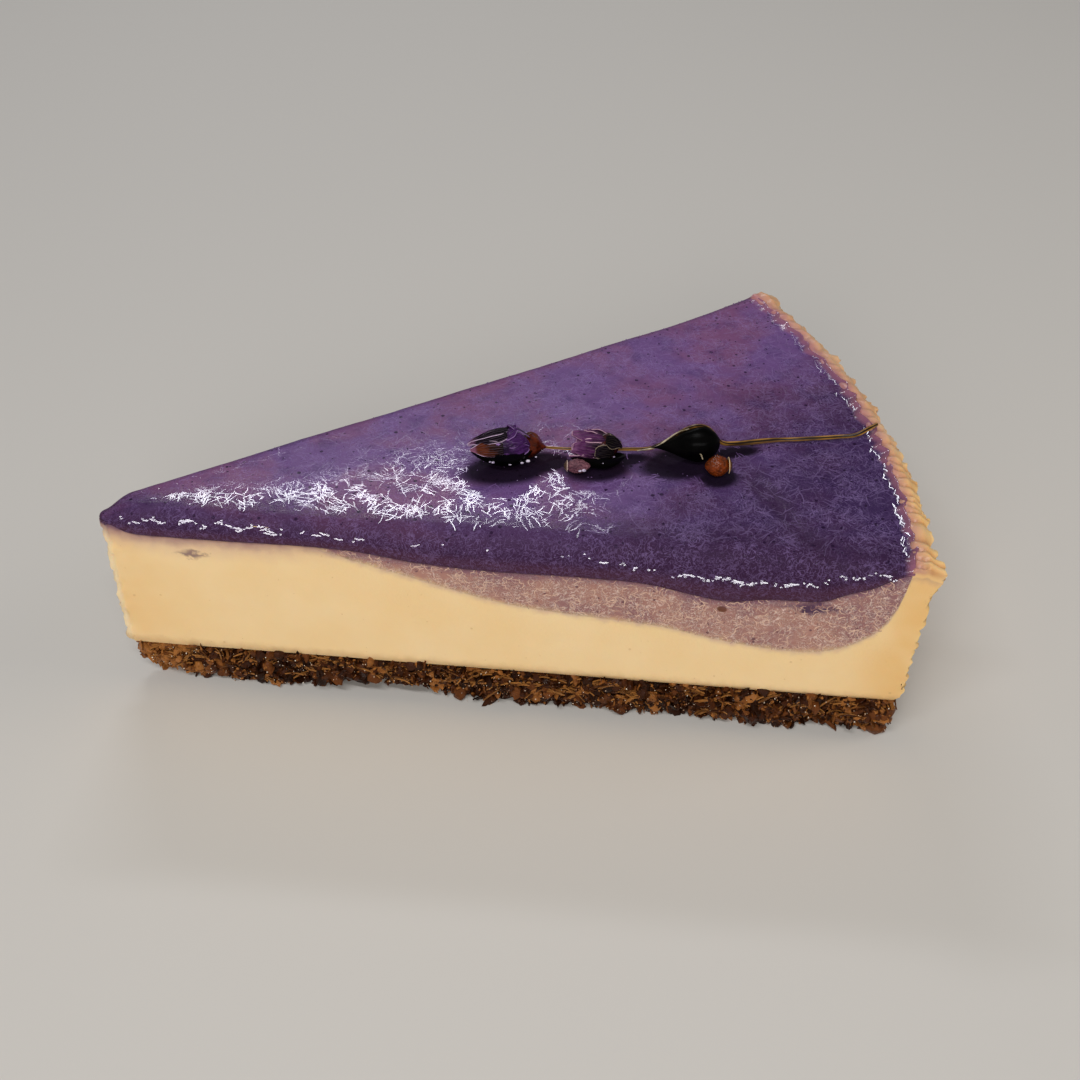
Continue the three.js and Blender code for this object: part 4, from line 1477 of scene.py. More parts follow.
@dataclass(frozen=True)
class Flakes(Heap):
    """Flat angular flakes, about 2 millimetres long."""

    def shape(self, n: int, random: Dice) -> Piece:
        """Model one flake from a thin block."""
        model = grid_block("flake", 4, 3, 1)
        column, row, top = points_of(model).T
        u, v = column / 2 - 1, row / 1.5 - 1
        skew, curl = random.uniform(-0.4, 0.4), random.uniform(-0.35, 0.35)
        twist = random.uniform(-0.4, 0.4)
        jag = random.uniform(-0.16, 0.16, (2, len(u)))
        ribs = 0.07 * np.cos(math.pi * 1.5 * (v + 1))
        thick = (0.13 + ribs) * (1 - 0.5 * np.maximum(np.abs(u), np.abs(v)) ** 2)
        x = u * (1 - 0.25 * np.abs(v)) + skew * v + jag[0]
        y = (0.55 - 0.15 * u) * v + jag[1]
        move_points(model, x, y, np.where(top > 0, thick, -thick) + curl * u * u + twist * u * v)
        return model


@dataclass(frozen=True)
class Shreds(Heap):
    """Thin curled shreds, which lie side by side in bunches."""

    def shape(self, n: int, random: Dice) -> Piece:
        """Model one shred, extruded from a small face."""
        model = started("shred", bpy.ops.mesh.primitive_plane_add, size=1)
        with editing(model):
            extruded(5)
        across, through, along = (points_of(model) * [2, 2, 0.2]).T
        bend, twist = random.uniform(0.2, 1.4), random.uniform(-1.6, 1.6)
        across = across * 0.11 * np.sin(math.pi * (0.12 + 0.76 * along)) ** 0.5
        through = through * (0.05 + 0.03 * random.random())
        cos, sin = np.cos(twist * along), np.sin(twist * along)
        y = across * sin + through * cos + bend * (along - 0.5) ** 2
        move_points(model, across * cos - through * sin, y, 2 * (along - 0.5))
        return model


@dataclass(frozen=True)
class CrumbBase:
    """Pressed biscuit base: a craggy core, thousands of crumbs, shreds and glints of sugar."""

    start: float = 5.1
    end: float = 112.6
    top: float = 7.1
    # How far the foot of the near wall is worn back, along the slice
    near_wear: Curve = Curve((
        (6, 1.6), (14, 0.6), (21, 0.1), (32, 0.9), (44, 1.7), (54, 0.5), (66, 0.6), (80, 0.6),
        (92, 0.0), (103, 0.7), (112, 0.9),
    ))
    heaps: tuple[Heap, ...] = (
        Heap("crust_crumbs", Bake.CRUMB, 8, 1250, (0.55, 1.3), (-0.2, 0.4), 2),
        Heap("crust_fines", Bake.CRUMB, 6, 3400, (0.16, 0.5), (0.1, 0.9), 1),
        Flakes("crust_flakes", Bake.FLAKE, 9, 1300, (0.55, 1.35), (0.1, 0.7)),
        Shreds("crust_shreds", Bake.SHRED, 5, 420, (0.8, 1.7), (0.25, 0.7)),
        Heap("crust_sugar", Bake.GLINT, 3, 800, (0.06, 0.13), (0.7, 1.3), 1),
    )

    def at(self, radius: Number, across: Number, height: Number, out: Number) -> tuple[Number, ...]:
        """Return a point of the base's worn wall, or one further out from it."""
        x, y = SLICE.plan(radius, across)
        worn = blend(self.near_wear.at(radius), 1.0, ease(across, -1, 0))
        worn = worn * (1 - ease(height, 0.0, 4.0))
        rag = 0.6 * lumps(x, y, height, 2.6) + 0.35 * lumps(y, x, height, 1.3)
        worn = 1.35 * worn + 0.3 * lumps(x, y, 3, 9) + 0.85 - rag
        drawn = 1 - ease(radius, self.start, self.start + 10)
        lift = 2.2 * (1.5 - 1.3 * ease(height, 0, 3)) * drawn
        x, y = SLICE.plan(radius, across, worn - out)
        return x + lift - (worn - out) * ease(radius, self.end - 4, self.end), y, height

    def core(self) -> Piece:
        """Shape the craggy core from a block of small faces."""
        rows, columns, levels = 190, 84, 14
        piece = grid_block("crust_core", rows, columns, levels)
        row, column, level = points_of(piece).T
        radius = blend(self.start, self.end, row / rows)
        across = 2 * column / columns - 1
        height = self.top * level / levels
        x, y, _ = self.at(radius, across, height, 0.0)
        crags = grain(np.column_stack([x, y, height]), 1.5, 3.0, 3)
        outside = ease(radius, self.end - 3, self.end)
        side = np.maximum(ease(np.abs(across), 0.93, 1.0), outside)
        under = (height == 0) * 0.25 * np.maximum(crags, 0)
        y = y + np.sign(across) * 0.45 * crags * side
        move_points(piece, SLICE.to_frame(x + 0.5 * crags * outside, y, height + under))
        return close_up(piece, 40)

    def spot(self, random: Dice) -> Spot:
        """Pick a place on the base's wall: a radius, an across and a height."""
        pick = random.random()
        height = random.uniform(0.25, self.top - 0.15)
        if pick < 0.76:
            radius = random.uniform(self.start + 1.0, self.end)
            return radius, -1.0 if pick < 0.46 else 1.0, height
        if pick < 0.97:
            return self.end, random.uniform(-1, 1), height
        return self.start + random.uniform(0, 1.5), random.uniform(-1, 1), height

    def scatter(self, heap: Heap, random: Dice) -> Piece:
        """Cast a heap's crumbs onto the base's wall. Small ones are commoner."""
        mould = heap.mould(random)
        for n in range(heap.count):
            radius, across, height = self.spot(random)
            size = blend(*heap.sizes, random.random() ** 2)
            out = blend(*heap.out, random.random())
            height = min(max(height, 0.6 * size), self.top + 0.15 - 0.35 * size)
            turn = Euler(random.uniform(0, 2 * math.pi, 3))
            scale = size * random.uniform(0.75, 1.25, 3)
            ends = max(0.0, 1 - (radius - self.start) / 16) + max(0.0, (radius - 104) / 22)
            tone = min(1.0, random.random() ** 1.3 + 0.3 * ends)
            mould.cast(n, self.at(radius, across, height, out), scale, turn, tone)
        return mould.piece(0.0)

    def bunches(self, heap: Heap, random: Dice) -> Piece:
        """Cast shreds in bunches that lie side by side along the wall, most of them high up."""
        mould = heap.mould(random)
        for _ in range(heap.count):
            radius, across, height = self.spot(random)
            height = max(self.top - 0.4 - abs(random.normal(0, 2.2)), 1.0)
            lean = random.normal(0, 0.5)
            length = random.uniform(*heap.sizes)
            swing = across * SLICE.half_wedge + math.pi / 2 * (abs(across) < 1)
            for n in range(int(random.integers(2, 6))):
                shift = 0.3 * n
                out = random.uniform(*heap.out)
                along, up = shift * math.cos(lean), shift * math.sin(lean)
                x, y, z = self.at(radius + along, across, height + up, out)
                pitch = lean + random.normal(0, 0.12)
                flat = math.cos(pitch)
                ahead = (math.cos(swing) * flat, math.sin(swing) * flat, math.sin(pitch))
                turn = facing((0.0, random.normal(0, 0.2), 1.0), ahead)
                z = min(z, self.top - 0.2 - length * abs(math.sin(pitch)))
                mould.cast(n, (x, y, z), (1.0, 1.0, length), turn, random.random())
        return mould.piece(0.0)

    def build(self, random: Dice) -> None:
        """Build and dress the base's pieces."""
        dress(self.core(), CrumbFinish(Bake.CORE), "crumb", "crumb_base")
        for heap in self.heaps:
            cast = self.bunches if heap.bake is Bake.SHRED else self.scatter
            dress(cast(heap, random), CrumbFinish(heap.bake), "crumb", "crumb_base")


# The sprig


@dataclass(frozen=True)
class Lie:
    """How a piece of the sprig lies on the glaze: its start, where it points, and its lift."""

    x: float
    y: float
    lift: float
    heading: float = 0.0
    pitch: float = 0.0

    def settle(self, piece: Piece) -> Piece:
        """Move a piece from its own frame onto the glaze, and close it up."""
        turn = (
            Matrix.Rotation(math.radians(self.heading), 3, "Z")
            @ Matrix.Rotation(-math.radians(self.pitch), 3, "Y")
        )
        foot = np.array([self.x, self.y, SLICE.surface(self.x, self.y) + self.lift])
        move_points(piece, SLICE.to_frame(points_of(piece) @ np.array(turn).T + foot))
        return close_up(piece, gap=0.0005)


def swelling(share: Number, widest: float) -> Number:
    """Return the radius, as a share, of a bud with a pointed start and a rounded end."""
    share = np.clip(share, 0.0, 1.0)
    before = 0.5 * share / widest
    after = 0.5 + 0.5 * (share - widest) / (1 - widest)
    return np.sin(math.pi * np.where(share < widest, before, after)) ** 0.75


def swept(share: Rows, angle: Rows, length: float, radius: Rows) -> Rows:
    """Return points at a radius about the X axis."""
    return np.column_stack([length * share, radius * np.cos(angle), radius * np.sin(angle)])


def turned(name: str, faces: tuple[int, int], length: float, radius: Form) -> Piece:
    """Model a round piece along X, from a ball.

    Args:
        name: The piece's name.
        faces: How many round its axis, and how many from end to end.
        length: How long it is, in millimetres.
        radius: Gives its radius for shares of the way along and angles about the axis.

    Returns:
        The piece.
    """
    piece = ball(name, *faces, rotation=(0, math.pi / 2, 0))
    bpy.ops.object.transform_apply(location=True, rotation=True, scale=True)
    x, y, z = points_of(piece).T
    share, angle = (x + 1) / 2, np.arctan2(z, y)
    move_points(piece, swept(share, angle, length, radius(share, angle)))
    return piece


def petal_sheet(name: str, rows: int, columns: int) -> tuple[Piece, Rows, Rows]:
    """Make a sheet, with each vertex's share of the way along it and its side from -1 to 1."""
    piece = sheet(name, rows, columns, 2)
    x, side, _ = points_of(piece).T
    return piece, (x + 1) / 2, side


@dataclass(frozen=True)
class Bud:
    """The form that petals wrap: its length, its largest radius, where that is, and its mouth."""

    length: float
    radius: float
    widest: float
    mouth: float = 0.0

    def radius_at(self, share: Number) -> Number:
        """Return the radius a share of the way along. A mouth of 1 keeps the end fully open."""
        open_end = self.mouth * ease(share, self.widest, 0.95)
        return self.radius * blend(swelling(0.06 + 0.9 * share, self.widest), 1.0, open_end)


@dataclass(frozen=True)
class Petal:
    """One petal that wraps round a bud: where it sits about the bud's axis, and how it opens."""

    turn: float
    base: float
    tip: float
    width: float
    open: float
    curl: float = 0.0

    def shape(self, name: str, bud: Bud) -> Piece:
        """Model the petal about a bud's axis, in the bud's own frame in millimetres."""
        piece, along, side = petal_sheet(name, 16, 14)
        lobe = np.sin(math.pi * np.clip(0.1 + 0.86 * along, 0, 1)) ** 0.55
        fray = 1 + 0.05 * np.sin(9 * along + 3 * side + self.turn)
        share = blend(self.base, self.tip, along)
        angle = math.radians(self.turn) + math.radians(self.width) * side * lobe * fray
        lift = self.open * along**1.6 + 0.16 * side**2 * along
        lift = lift + self.curl * np.maximum(along - 0.7, 0)
        fine = np.sin(15 * side - 8 * along + 2 * self.turn) * ease(along, 0.2, 0.8)
        crinkle = 0.13 * np.sin(7 * side + 11 * along + self.turn) * along + 0.08 * fine
        body = bud.radius_at(share) * 1.04 + lift + crinkle
        move_points(piece, swept(share, angle, bud.length, body))
        rim = np.maximum(np.abs(side), np.maximum(2 * along - 1, 0) ** 2)
        mark(piece, rim=rim, along=along, side=side)
        apply_modifier(piece, "SOLIDIFY", thickness=0.12, offset=1.0)
        apply_modifier(piece, "SUBSURF", levels=1, render_levels=1)
        return piece


def joined(name: str, pieces: Sequence[Piece]) -> Piece:
    """Join meshes into one piece with a name."""
    select(pieces[0])
    for piece in pieces:
        piece.select_set(True)
    bpy.ops.object.join()
    pieces[0].name = pieces[0].data.name = name
    return pieces[0]


@dataclass(frozen=True)
class Tube:
    """A round section extruded along a smooth route, and tapered a little at both ends.

    The ribs are how deep its grooves are, and the growth how much thicker it gets from its start
    to its end, both as a share.
    """

    radius: float
    sides: int
    steps: int
    ribs: float = 0.0
    growth: float = 0.0

    def shape(self, name: str, knots: Rows) -> Piece:
        """Model the tube through points of the slice's own frame."""
        sizes = {"vertices": self.sides, "radius": 1, "fill_type": "NGON"}
        piece = started(name, bpy.ops.mesh.primitive_circle_add, **sizes)
        with editing(piece):
            extruded(self.steps)
        far = np.append(0, np.cumsum(np.linalg.norm(np.diff(knots, axis=0), axis=1)))
        marks = np.linspace(0, far[-1], self.steps + 1)
        line = np.column_stack([Curve(tuple(zip(far, knot))).at(marks) for knot in knots.T])
        ahead = np.gradient(line, axis=0)
        ahead /= np.linalg.norm(ahead, axis=1)[:, None]
        side = np.cross(ahead, [0.0, 0.0, 1.0])
        side /= np.linalg.norm(side, axis=1)[:, None]
        up = np.cross(side, ahead)
        x, y, z = points_of(piece).T
        step, angle = np.round(z).astype(int), np.arctan2(y, x)
        share = step / self.steps
        ribs = 1 + self.ribs * np.cos(4 * angle + 0.05 * step)
        swell = 1 + 0.12 * np.sin(0.21 * step) * np.sin(0.067 * step + 1.0)
        ends = 0.45 + 0.55 * np.sin(math.pi * np.clip(share, 0.02, 0.98)) ** 0.25
        size = np.hypot(x, y) * self.radius * ribs * swell * ends
        size = (size * (1 + self.growth * (share - 0.5)))[:, None]
        ring = side[step] * np.cos(angle)[:, None] + up[step] * np.sin(angle)[:, None]
        move_points(piece, SLICE.to_frame(line[step] + ring * size))
        mark(piece, side=np.sin(angle))
        return close_up(piece, 50, 0.0005)


@dataclass(frozen=True)
class Sprig:
    """Dried lavender sprig: a stalk with a closed bud, an open flower, a pod and small buds."""

    stem_radius: float = 0.4
    stalk: Tube = Tube(0.29, 14, 150, 0.12, 0.6)
    route: tuple[Spot, ...] = (
        (64.3, -0.85, 1.1), (66.1, -0.75, 0.6), (69.3, -1.3, 0.35), (76.8, -2.8, 0.35),
        (79.6, -3.6, 0.7), (82, -4.45, 2.4), (83.8, -4.9, 4.0), (85.5, -5.2, 4.75),
        (86.9, -5.5, 4.5), (88.1, -5.6, 3.2), (89.3, -5.2, 1.4), (91, -4.8, 0.6),
        (97.2, -4.8, 0.35), (101, -5.3, 0.35), (106.4, -5.8, 0.35), (109, -6.2, 0.6),
        (110.8, -5.9, 0.8), (112.6, -4.9, 0.7),
    )
    bud: Lie = Lie(54.4, -1.3, 2.9, -6, 1)
    calyx: Lie = Lie(61.3, -0.75, 2.5, -6, -14)
    flower: Lie = Lie(74.7, -4.6, 2.4, 166, 6)
    flower_husk: Lie = Lie(67.8, -3.9, 1.9, -6, 2)
    small: Lie = Lie(66.8, -5.5, 1.2, -11)
    pod: Lie = Lie(79.3, -4.4, 1.75, -16, 9)
    amber: Lie = Lie(85.6, -9.9, 1.65, -9)
    # Pale edges of the husk that split open round the pod, partly painted highlight lines along its
    # top and right
    split_edges_and_glints: tuple[tuple[Spot, ...], ...] = (
        ((77.6, -3.9, 32.3), (80.0, -4.5, 33.0), (81.5, -4.6, 34.1), (83.0, -4.8, 35.3),
         (84.4, -5.4, 36.15)),
        ((85.4, -5.9, 36.35), (86.5, -6.4, 36.1), (87.5, -6.8, 35.2), (88.2, -6.9, 34.0),
         (88.2, -7.1, 33.0)),
        ((84.4, -8.2, 34.6), (85.3, -8.5, 34.0), (85.6, -8.8, 33.2)),
    )
    # Painted highlights along the husks' rims, as small near-white balls
    painted_glints: tuple[Spot, ...] = (
        (56.66, -4.0, 33.5), (57.07, -4.05, 33.39), (59.39, -4.3, 32.97), (59.81, -4.3, 32.91),
        (61.07, -4.3, 32.9), (61.95, -4.1, 32.96), (63.16, -3.7, 33.18), (68.7, -6.9, 32.3),
        (69.26, -6.9, 32.3), (72.0, -6.6, 32.97), (72.45, -6.5, 33.0), (73.06, -6.3, 33.02),
        (73.72, -5.9, 33.23),
    )

    def stem(self) -> Piece:
        """Sweep a ribbed section along the stalk's route, over the glaze and the rim."""
        path = []
        for x, y, lift in self.route:
            on_rim = x > SLICE.radius - SLICE.rim_width - 1.5
            lowest = SLICE.rim_level + 0.3 if on_rim else 0.0
            path.append((x, y, max(SLICE.surface(x, y), lowest) + self.stem_radius + lift))
        return self.stalk.shape("sprig_stalk", np.array(path))

    def wrapped(self, name: str, petals: Sequence[Petal], bud: Bud, lie: Lie) -> Piece:
        """Model a bud's petals and lay them on the glaze as one piece."""
        parts = [petal.shape(f"{name}_{n}", bud) for n, petal in enumerate(petals)]
        return lie.settle(joined(name, parts))

    def crumpled(self, bud: Bud) -> Piece:
        """Model the crumpled inside of the closed bud."""
        def crumple(share: Rows, angle: Rows) -> Rows:
            broad = 0.1 * np.sin(6 * angle + 14 * share) + 0.08 * np.sin(19 * share - 3 * angle)
            return 1 + broad + 0.05 * np.sin(13 * angle - 9 * share)

        def radius(share: Rows, angle: Rows) -> Rows:
            mark(bpy.context.object, rim=ease(crumple(share, angle), 0.9, 1.2), along=share,
                 side=np.sin(angle))
            return 0.93 * bud.radius * swelling(share, bud.widest) * crumple(share, angle)

        return self.bud.settle(turned("bud_core", (56, 40), bud.length * 0.97, radius))

    def boat(self, name: str, length: float, wide: float, lie: Lie) -> Piece:
        """Model a dark boat-shaped husk that holds a flower."""
        piece = turned(name, (56, 28), length, lambda share, angle: (
            wide * swelling(share, 0.6) * (1 + 0.03 * np.cos(5 * angle))
        ))
        cut = {"plane_co": (0, 0, -0.35), "plane_no": (0.05, 0.42, 1.0)}
        with editing(piece):
            bpy.ops.mesh.bisect(clear_outer=True, use_fill=False, **cut)
        apply_modifier(piece, "SOLIDIFY", thickness=0.22, offset=1.0)
        return lie.settle(piece)

    def husk_glints(self) -> Piece:
        """Model the small near-white balls along the husks' rims, which are painted highlights."""
        mould = Mould("husk_glints", [ball("drop", 10, 7)])
        for n, spot in enumerate(self.painted_glints):
            size = 0.11 + 0.05 * (n % 3)
            mould.cast(0, spot, (1.5 * size, size, size), Euler((0, 0, -0.1)), 1.0)
        return mould.piece()

    def calyx_piece(self) -> Piece:
        """Model the glossy ribbed calyx at the closed bud's foot."""
        def radius(share: Rows, angle: Rows) -> Rows:
            ribs = 1 + 0.06 * np.cos(6 * angle) * np.sin(math.pi * share)
            neck = 1 - 0.45 * ease(share, 0.55, 1.0)
            tooth = 0.7 * np.exp(-(((share - 0.3) / 0.07) ** 2) - ((angle - 1.8) / 0.22) ** 2)
            return 1.75 * swelling(share, 0.36) * ribs * neck + tooth

        return self.calyx.settle(turned("calyx_amber", (48, 30), 4.0, radius))

    def flower_cup(self) -> Piece:
        """Model the open flower's dark cup."""
        return self.flower.settle(turned("flower_cup", (48, 28), 4.6, lambda share, angle: (
            2.0 * swelling(share, 0.45)
            * (1 + 0.07 * np.cos(8 * angle) + 0.04 * np.sin(12 * share + 2 * angle))
        )))

    def pod_piece(self) -> Piece:
        """Model the dark pod: a plump drop with a drawn-out tail and a crease."""
        def radius(share: Rows, angle: Rows) -> Rows:
            widest = 0.68
            drawn = ease(share, -0.05, widest) ** 1.15
            rounded = np.sqrt(np.maximum(1 - ((share - widest) / (1 - widest)) ** 2, 0))
            crease = 1 - 0.12 * np.exp(-(((angle - 2.1) / 0.3) ** 2))
            wrinkle = 0.03 * np.sin(5 * angle + 9 * share) + 0.02 * np.sin(21 * share + 3 * angle)
            return 2.45 * np.where(share < widest, drawn, rounded) * crease * (1 + wrinkle)

        return self.pod.settle(turned("pod_dark_skin", (56, 40), 9.7, radius))

    def small_bud(self, name: str, bud: Bud, lie: Lie) -> Piece:
        """Model a small round bud with a knobbly skin."""
        def radius(share: Rows, angle: Rows) -> Rows:
            rough = 1 + 0.05 * np.sin(5 * angle + 9 * share) * np.sin(11 * share + 2 * angle)
            grit = 0.1 * np.sin(17 * angle + 5 * share) * np.sin(31 * share + 2 * angle)
            body = bud.radius * np.sin(math.pi * np.clip(share, 0, 1)) ** 0.6
            return body * (rough + grit * np.sin(math.pi * share))

        return lie.settle(turned(name, (64, 44), bud.length, radius))

    def bract(self, name: str, bud: Bud, lie: Lie, far_end: bool) -> Piece:
        """Model the thin pale bract that clasps one end of a small bud."""
        piece, along, side = petal_sheet(name, 8, 22)
        share = 0.02 + along * 0.12
        share = 1 - share if far_end else share
        body = bud.radius * np.sin(math.pi * share) ** 0.6 * 1.04 + 0.1 + 0.16 * along**2
        shift = 0.14 if far_end else -0.14
        points = swept(share, math.pi * 0.56 + 2.0 * side, bud.length, body)
        move_points(piece, points + [shift, 0, 0])
        mark(piece, rim=np.maximum(np.abs(side), along), along=along, side=side)
        apply_modifier(piece, "SOLIDIFY", thickness=0.1, offset=1.0)
        return lie.settle(piece)

    def build_bud(self) -> None:
        """Build and dress the closed bud, the husks, the painted highlights on them and the calyx.
        """
        pale, plum = tint(204, 178, 208), tint(64, 28, 84)
        violet = PetalFinish("petal_violet", tint(26, 9, 38), plum, plum, tint(138, 104, 160))
        dusk = PetalFinish(
            "petal_dusk", tint(7, 3, 8), tint(20, 8, 20), tint(104, 66, 98), pale, 0.5, 0.04
        )
        rust = PetalFinish(
            "petal_rust", tint(18, 7, 8), tint(88, 38, 13), tint(136, 84, 112), pale, 0.4, 0.1
        )
        husk = HuskFinish("husk", tint(2, 3, 2), tint(6, 7, 4), 0.16, 3.0, 0.8, shine=0.12)
        # Near-white finish of the painted highlights on the husks
        glint_white = HuskFinish("painted_glints", tint(150, 136, 166), tint(232, 224, 240), 0.1)
        red_amber = HuskFinish("calyx_amber", tint(26, 6, 3), tint(104, 36, 10), 0.14, 2.0, 0.9)
        bud = Bud(8.6, 2.45, 0.62)
        dress(self.crumpled(bud), violet, "petal", "bud_tip")
        dress(self.boat("bud_husk", 8.8, 2.62, self.bud), husk, "petal", "bud_tip")
        dress(self.husk_glints(), glint_white, "petal", "bud_tip", "flower_open")
        piece = self.boat("flower_husk", 8.2, 2.2, self.flower_husk)
        dress(piece, husk, "petal", "flower_open")
        wraps = {
            ("bud_petals_outer", dusk): (
                Petal(72, 0.66, -0.04, 34, 0.22), Petal(104, 0.6, -0.02, 30, 0.16),
            ),
            ("bud_petal_near", rust): (Petal(150, 0.52, -0.01, 32, 0.12),),
            ("bud_petals_inner", violet): (
                Petal(84, 0.5, 0.76, 42, 0.35, 0.6), Petal(120, 0.46, 0.9, 30, 0.12),
                Petal(160, 0.5, 0.94, 28, 0.05), Petal(60, 0.96, 0.6, 30, 0.3),
            ),
        }
        for (name, finish), petals in wraps.items():
            dress(self.wrapped(name, petals, bud, self.bud), finish, "petal", "bud_tip")
        dress(self.calyx_piece(), red_amber, "amber", "bud_calyx")

    def build_flower(self) -> None:
        """Build and dress the open flower and the small bud beside it."""
        mauve = PetalFinish(
            "petal_mauve", tint(24, 7, 26), tint(82, 38, 82), tint(112, 66, 108),
            tint(206, 164, 184), 0.4, 0.1,
        )
        sepal = PetalFinish(
            "sepal_dark", tint(6, 3, 7), tint(13, 7, 16), tint(24, 12, 26), tint(150, 134, 116),
            0.4, 0.05,
        )
        cup = HuskFinish("flower_cup", tint(18, 6, 8), tint(62, 18, 16), 0.18, 2.0, 1.2)
        dusky = HuskFinish("bud_dusky", tint(72, 38, 52), tint(148, 98, 108), 0.5, 1.0, 0.28)
        pale = PetalFinish(
            "bract_pale", tint(60, 46, 34), tint(90, 66, 54), tint(150, 124, 110),
            tint(214, 190, 180),
        )
        petals = (
            Petal(20, 0.3, 0.9, 44, 0.1), Petal(92, 0.12, 0.94, 46, 0.2, -0.9),
            Petal(158, 0.02, 0.62, 40, 0.34, 0.4), Petal(236, 0.3, 0.9, 42, 0.1),
            Petal(308, 0.3, 0.94, 42, 0.1), Petal(56, 0.35, 0.84, 34, -0.5),
            Petal(128, 0.35, 0.7, 34, 0.5, -1.2), Petal(200, 0.35, 0.64, 30, 0.45, -0.8),
            Petal(320, 0.35, 0.8, 36, -0.5),
        )
        sepals = (
            Petal(64, 0.34, -0.06, 34, 0.5), Petal(122, 0.26, -0.04, 26, 0.3),
            Petal(175, 0.1, 0.6, 30, 0.3), Petal(15, 0.1, 0.55, 30, 0.3),
        )
        dress(self.flower_cup(), cup, "petal", "flower_open")
        piece = self.wrapped("flower_petals", petals, Bud(7.2, 1.95, 0.42, 0.7), self.flower)
        dress(piece, mauve, "petal", "flower_open")
        piece = self.wrapped("flower_sepals", sepals, Bud(6.1, 2.05, 0.42), self.flower)
        dress(piece, sepal, "petal", "flower_open")
        bud = Bud(3.6, 0.95, 0.5)
        dress(self.small_bud("bud_middle_skin", bud, self.small), dusky, "petal", "bud_middle")
        piece = self.bract("bud_middle_bract", bud, self.small, False)
        dress(piece, pale, "petal", "bud_middle")

    def build_pod(self) -> None:
        """Build and dress the pod, the split husk's pale edges round it (partly painted highlight),
        and the amber bud.
        """
        pod = HuskFinish("pod", tint(2, 2, 2), tint(6, 5, 5), 0.3, 3.0, 1.0, shine=0.05)
        split_edge_and_glint = HuskFinish("husk_edge_and_glint", tint(110, 96, 70), tint(214, 200, 172), 0.25, 1.0, 0.6)
        amber = HuskFinish("bud_amber", tint(24, 7, 2), tint(120, 50, 9), 0.2, 1.0, 0.42)
        gold = PetalFinish(
            "bract_gold_and_glint", tint(60, 34, 14), tint(96, 58, 26), tint(150, 110, 70),
            tint(222, 192, 150),
        )
        dress(self.pod_piece(), pod, "pod", "pod_dark")
        # Pale edge tubes: partly the husk's own edges, partly painted highlight lines on the pod
        edge = Tube(0.11, 8, 24)
        tubes = [edge.shape(f"split_{n}", np.array(route)) for n, route in enumerate(self.split_edges_and_glints)]
        dress(joined("pod_husk_edges_and_glints", tubes), split_edge_and_glint, "pod", "pod_dark")
        bud = Bud(3.6, 1.4, 0.5)
        dress(self.small_bud("bud_amber_skin", bud, self.amber), amber, "amber", "bud_amber")
        # The bract's pale rim is partly its own colour and partly a painted highlight, the crescent
        # of light on the bud
        piece = self.bract("bud_amber_bract_and_glint", bud, self.amber, True)
        dress(piece, gold, "amber", "bud_amber")

    def build(self) -> None:
        """Build and dress the sprig's pieces."""
        straw = HuskFinish("stalk", tint(26, 12, 5), tint(168, 122, 52), 0.25, 14.0, 0.5, 0.35)
        dress(self.stem(), straw, "stem", "sprig_stem")
        self.build_bud()
        self.build_flower()
        self.build_pod()


# The studio


def hang(name: str, data: bpy.types.ID, place: Spot, aim: Spot) -> Piece:
    """Add a lamp or a camera to the scene, facing a point of the slice."""
    holder = bpy.data.objects.new(name, data)
    bpy.context.collection.objects.link(holder)
    holder.location = place
    away = Vector(aim) - Vector(place)
    holder.rotation_euler = away.to_track_quat("-Z", "Y").to_euler()
    return holder


WARM = (1.0, 0.96, 0.91)


@dataclass(frozen=True)
class Lamp:
    """A soft rectangular lamp that faces a point of the slice."""

    name: str
    place: Spot
    aim: Spot
    width: float
    height: float
    power: float
    colour: Tint = (1.0, 1.0, 1.0)
    mirrored: bool = True

    def build(self) -> None:
        """Add the lamp to the scene."""
        light = bpy.data.lights.new(self.name, "AREA")
        light.shape = "RECTANGLE"
        light.size, light.size_y = self.width, self.height
        light.energy = self.power
        light.color = self.colour
        hang(self.name, light, self.place, self.aim).visible_glossy = self.mirrored


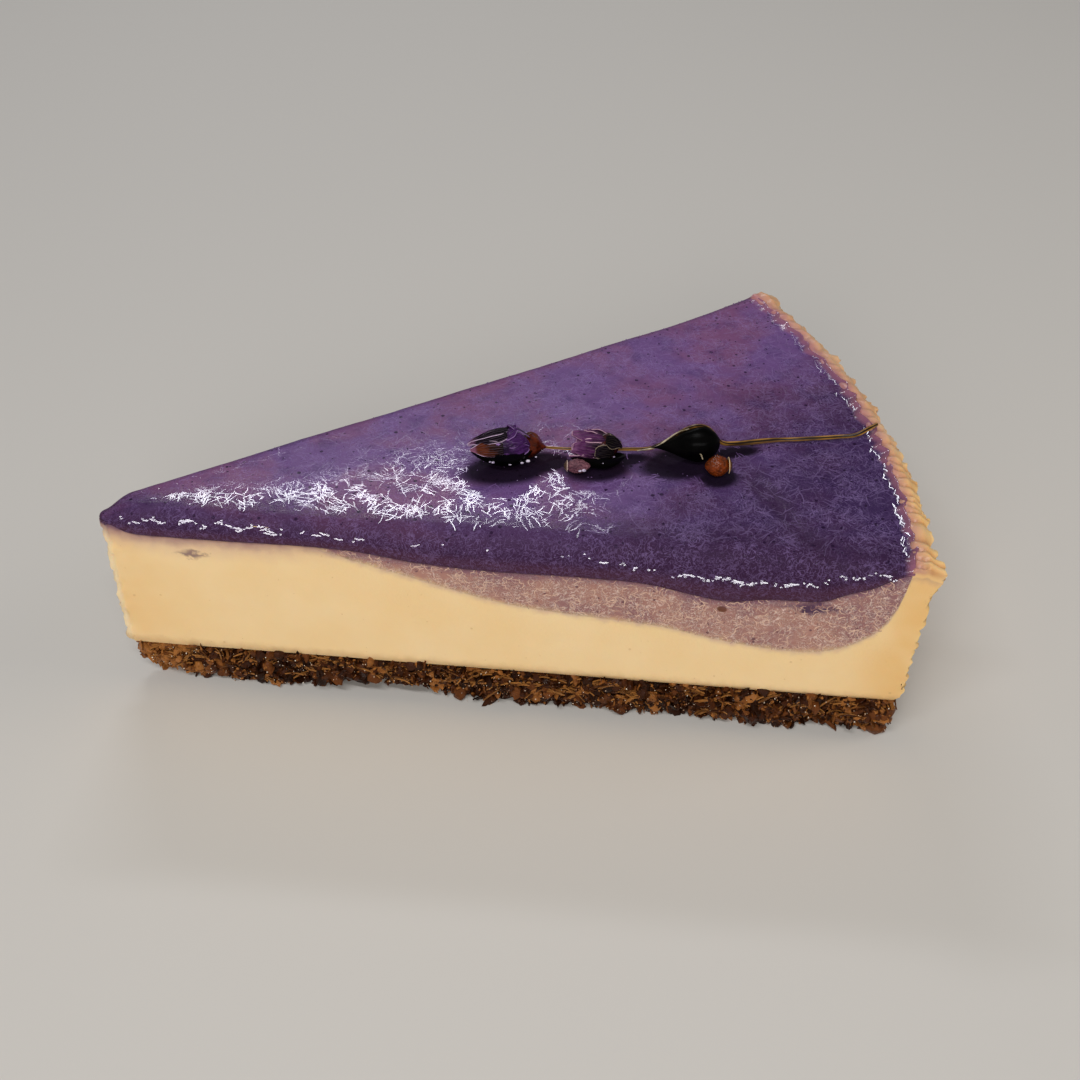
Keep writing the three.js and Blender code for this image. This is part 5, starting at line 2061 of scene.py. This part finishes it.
@dataclass(frozen=True)
class Studio:
    """Pale floor, soft lamps and the camera."""

    eye: Spot = (-0.0285, -0.1673, 0.1571)
    target: Spot = (0.00506, -0.00105, 0.0159)
    lens: float = 50.0
    sky: float = 0.16
    floor_tone: Tint = (0.6, 0.58, 0.55)
    lamps: tuple[Lamp, ...] = (
        Lamp("lamp_back", (0.0, 0.472, 0.427), (-0.02, -0.002, 0.031), 0.25, 0.03, 0.64,
             (0.93, 0.95, 1.0)),
        Lamp("lamp_strip", (-0.194, -0.392, 0.733), (0.0, 0.0, 0.02), 0.62, 0.06, 2.8),
        Lamp("lamp_front", (-0.22, -0.58, 0.38), (0.0, -0.01, 0.015), 0.4, 0.3, 2.2,
             WARM, False),
        Lamp("lamp_right", (0.6, -0.1, 0.35), (0.04, 0.0, 0.02), 0.3, 0.3, 0.8, WARM, False),
    )

    def build(self) -> None:
        """Set up the floor, the lamps, the surroundings and the camera."""
        floor = started("floor", bpy.ops.mesh.primitive_plane_add, size=6)
        material = Recipe("floor_pale").finish(Base_Color=self.floor_tone, Roughness=0.7)
        floor.data.materials.append(material)
        for lamp in self.lamps:
            lamp.build()
        scene = bpy.context.scene
        scene.world = bpy.data.worlds.new("studio")
        scene.world.use_nodes = True
        sky = scene.world.node_tree.nodes["Background"]
        sky.inputs["Color"].default_value = (1.0, 0.98, 0.95, 1.0)
        sky.inputs["Strength"].default_value = self.sky
        camera = bpy.data.cameras.new("camera")
        camera.lens, camera.sensor_width = self.lens, 36.0
        camera.clip_start, camera.clip_end = 0.01, 20.0
        scene.camera = hang("camera", camera, self.eye, self.target)
        scene.view_settings.view_transform = "Standard"
        scene.view_settings.look = "None"


def main() -> None:
    """Build every piece in order."""
    logging.basicConfig(level=logging.INFO, format="%(name)s: %(message)s")
    random = np.random.default_rng(17)
    Studio().build()
    dress(Filling().build(), CreamFinish(), "cream", "cream_filling")
    dress(LavenderLayer().build(), MauveFinish(), "mauve_cream", "lavender_layer")
    glaze = Glaze()
    dress(glaze.build(), GlazeFinish(), "glaze", "lavender_glaze")
    shine = GlazeFinish("glaze_strokes", stroke=True)
    dress(Strokes().build(random, glaze.shadow_pools), shine, "glaze", "lavender_glaze")
    dress(Ripples().build(random), shine, "glaze", "lavender_glaze")
    dress(Bubbles().build(random), shine, "glaze", "lavender_glaze")
    dress(Fibres().build(random), FibreFinish(), "mauve_cream", "lavender_layer")
    CrumbBase().build(random)
    Sprig().build()


if __name__ == "__main__":
    main()
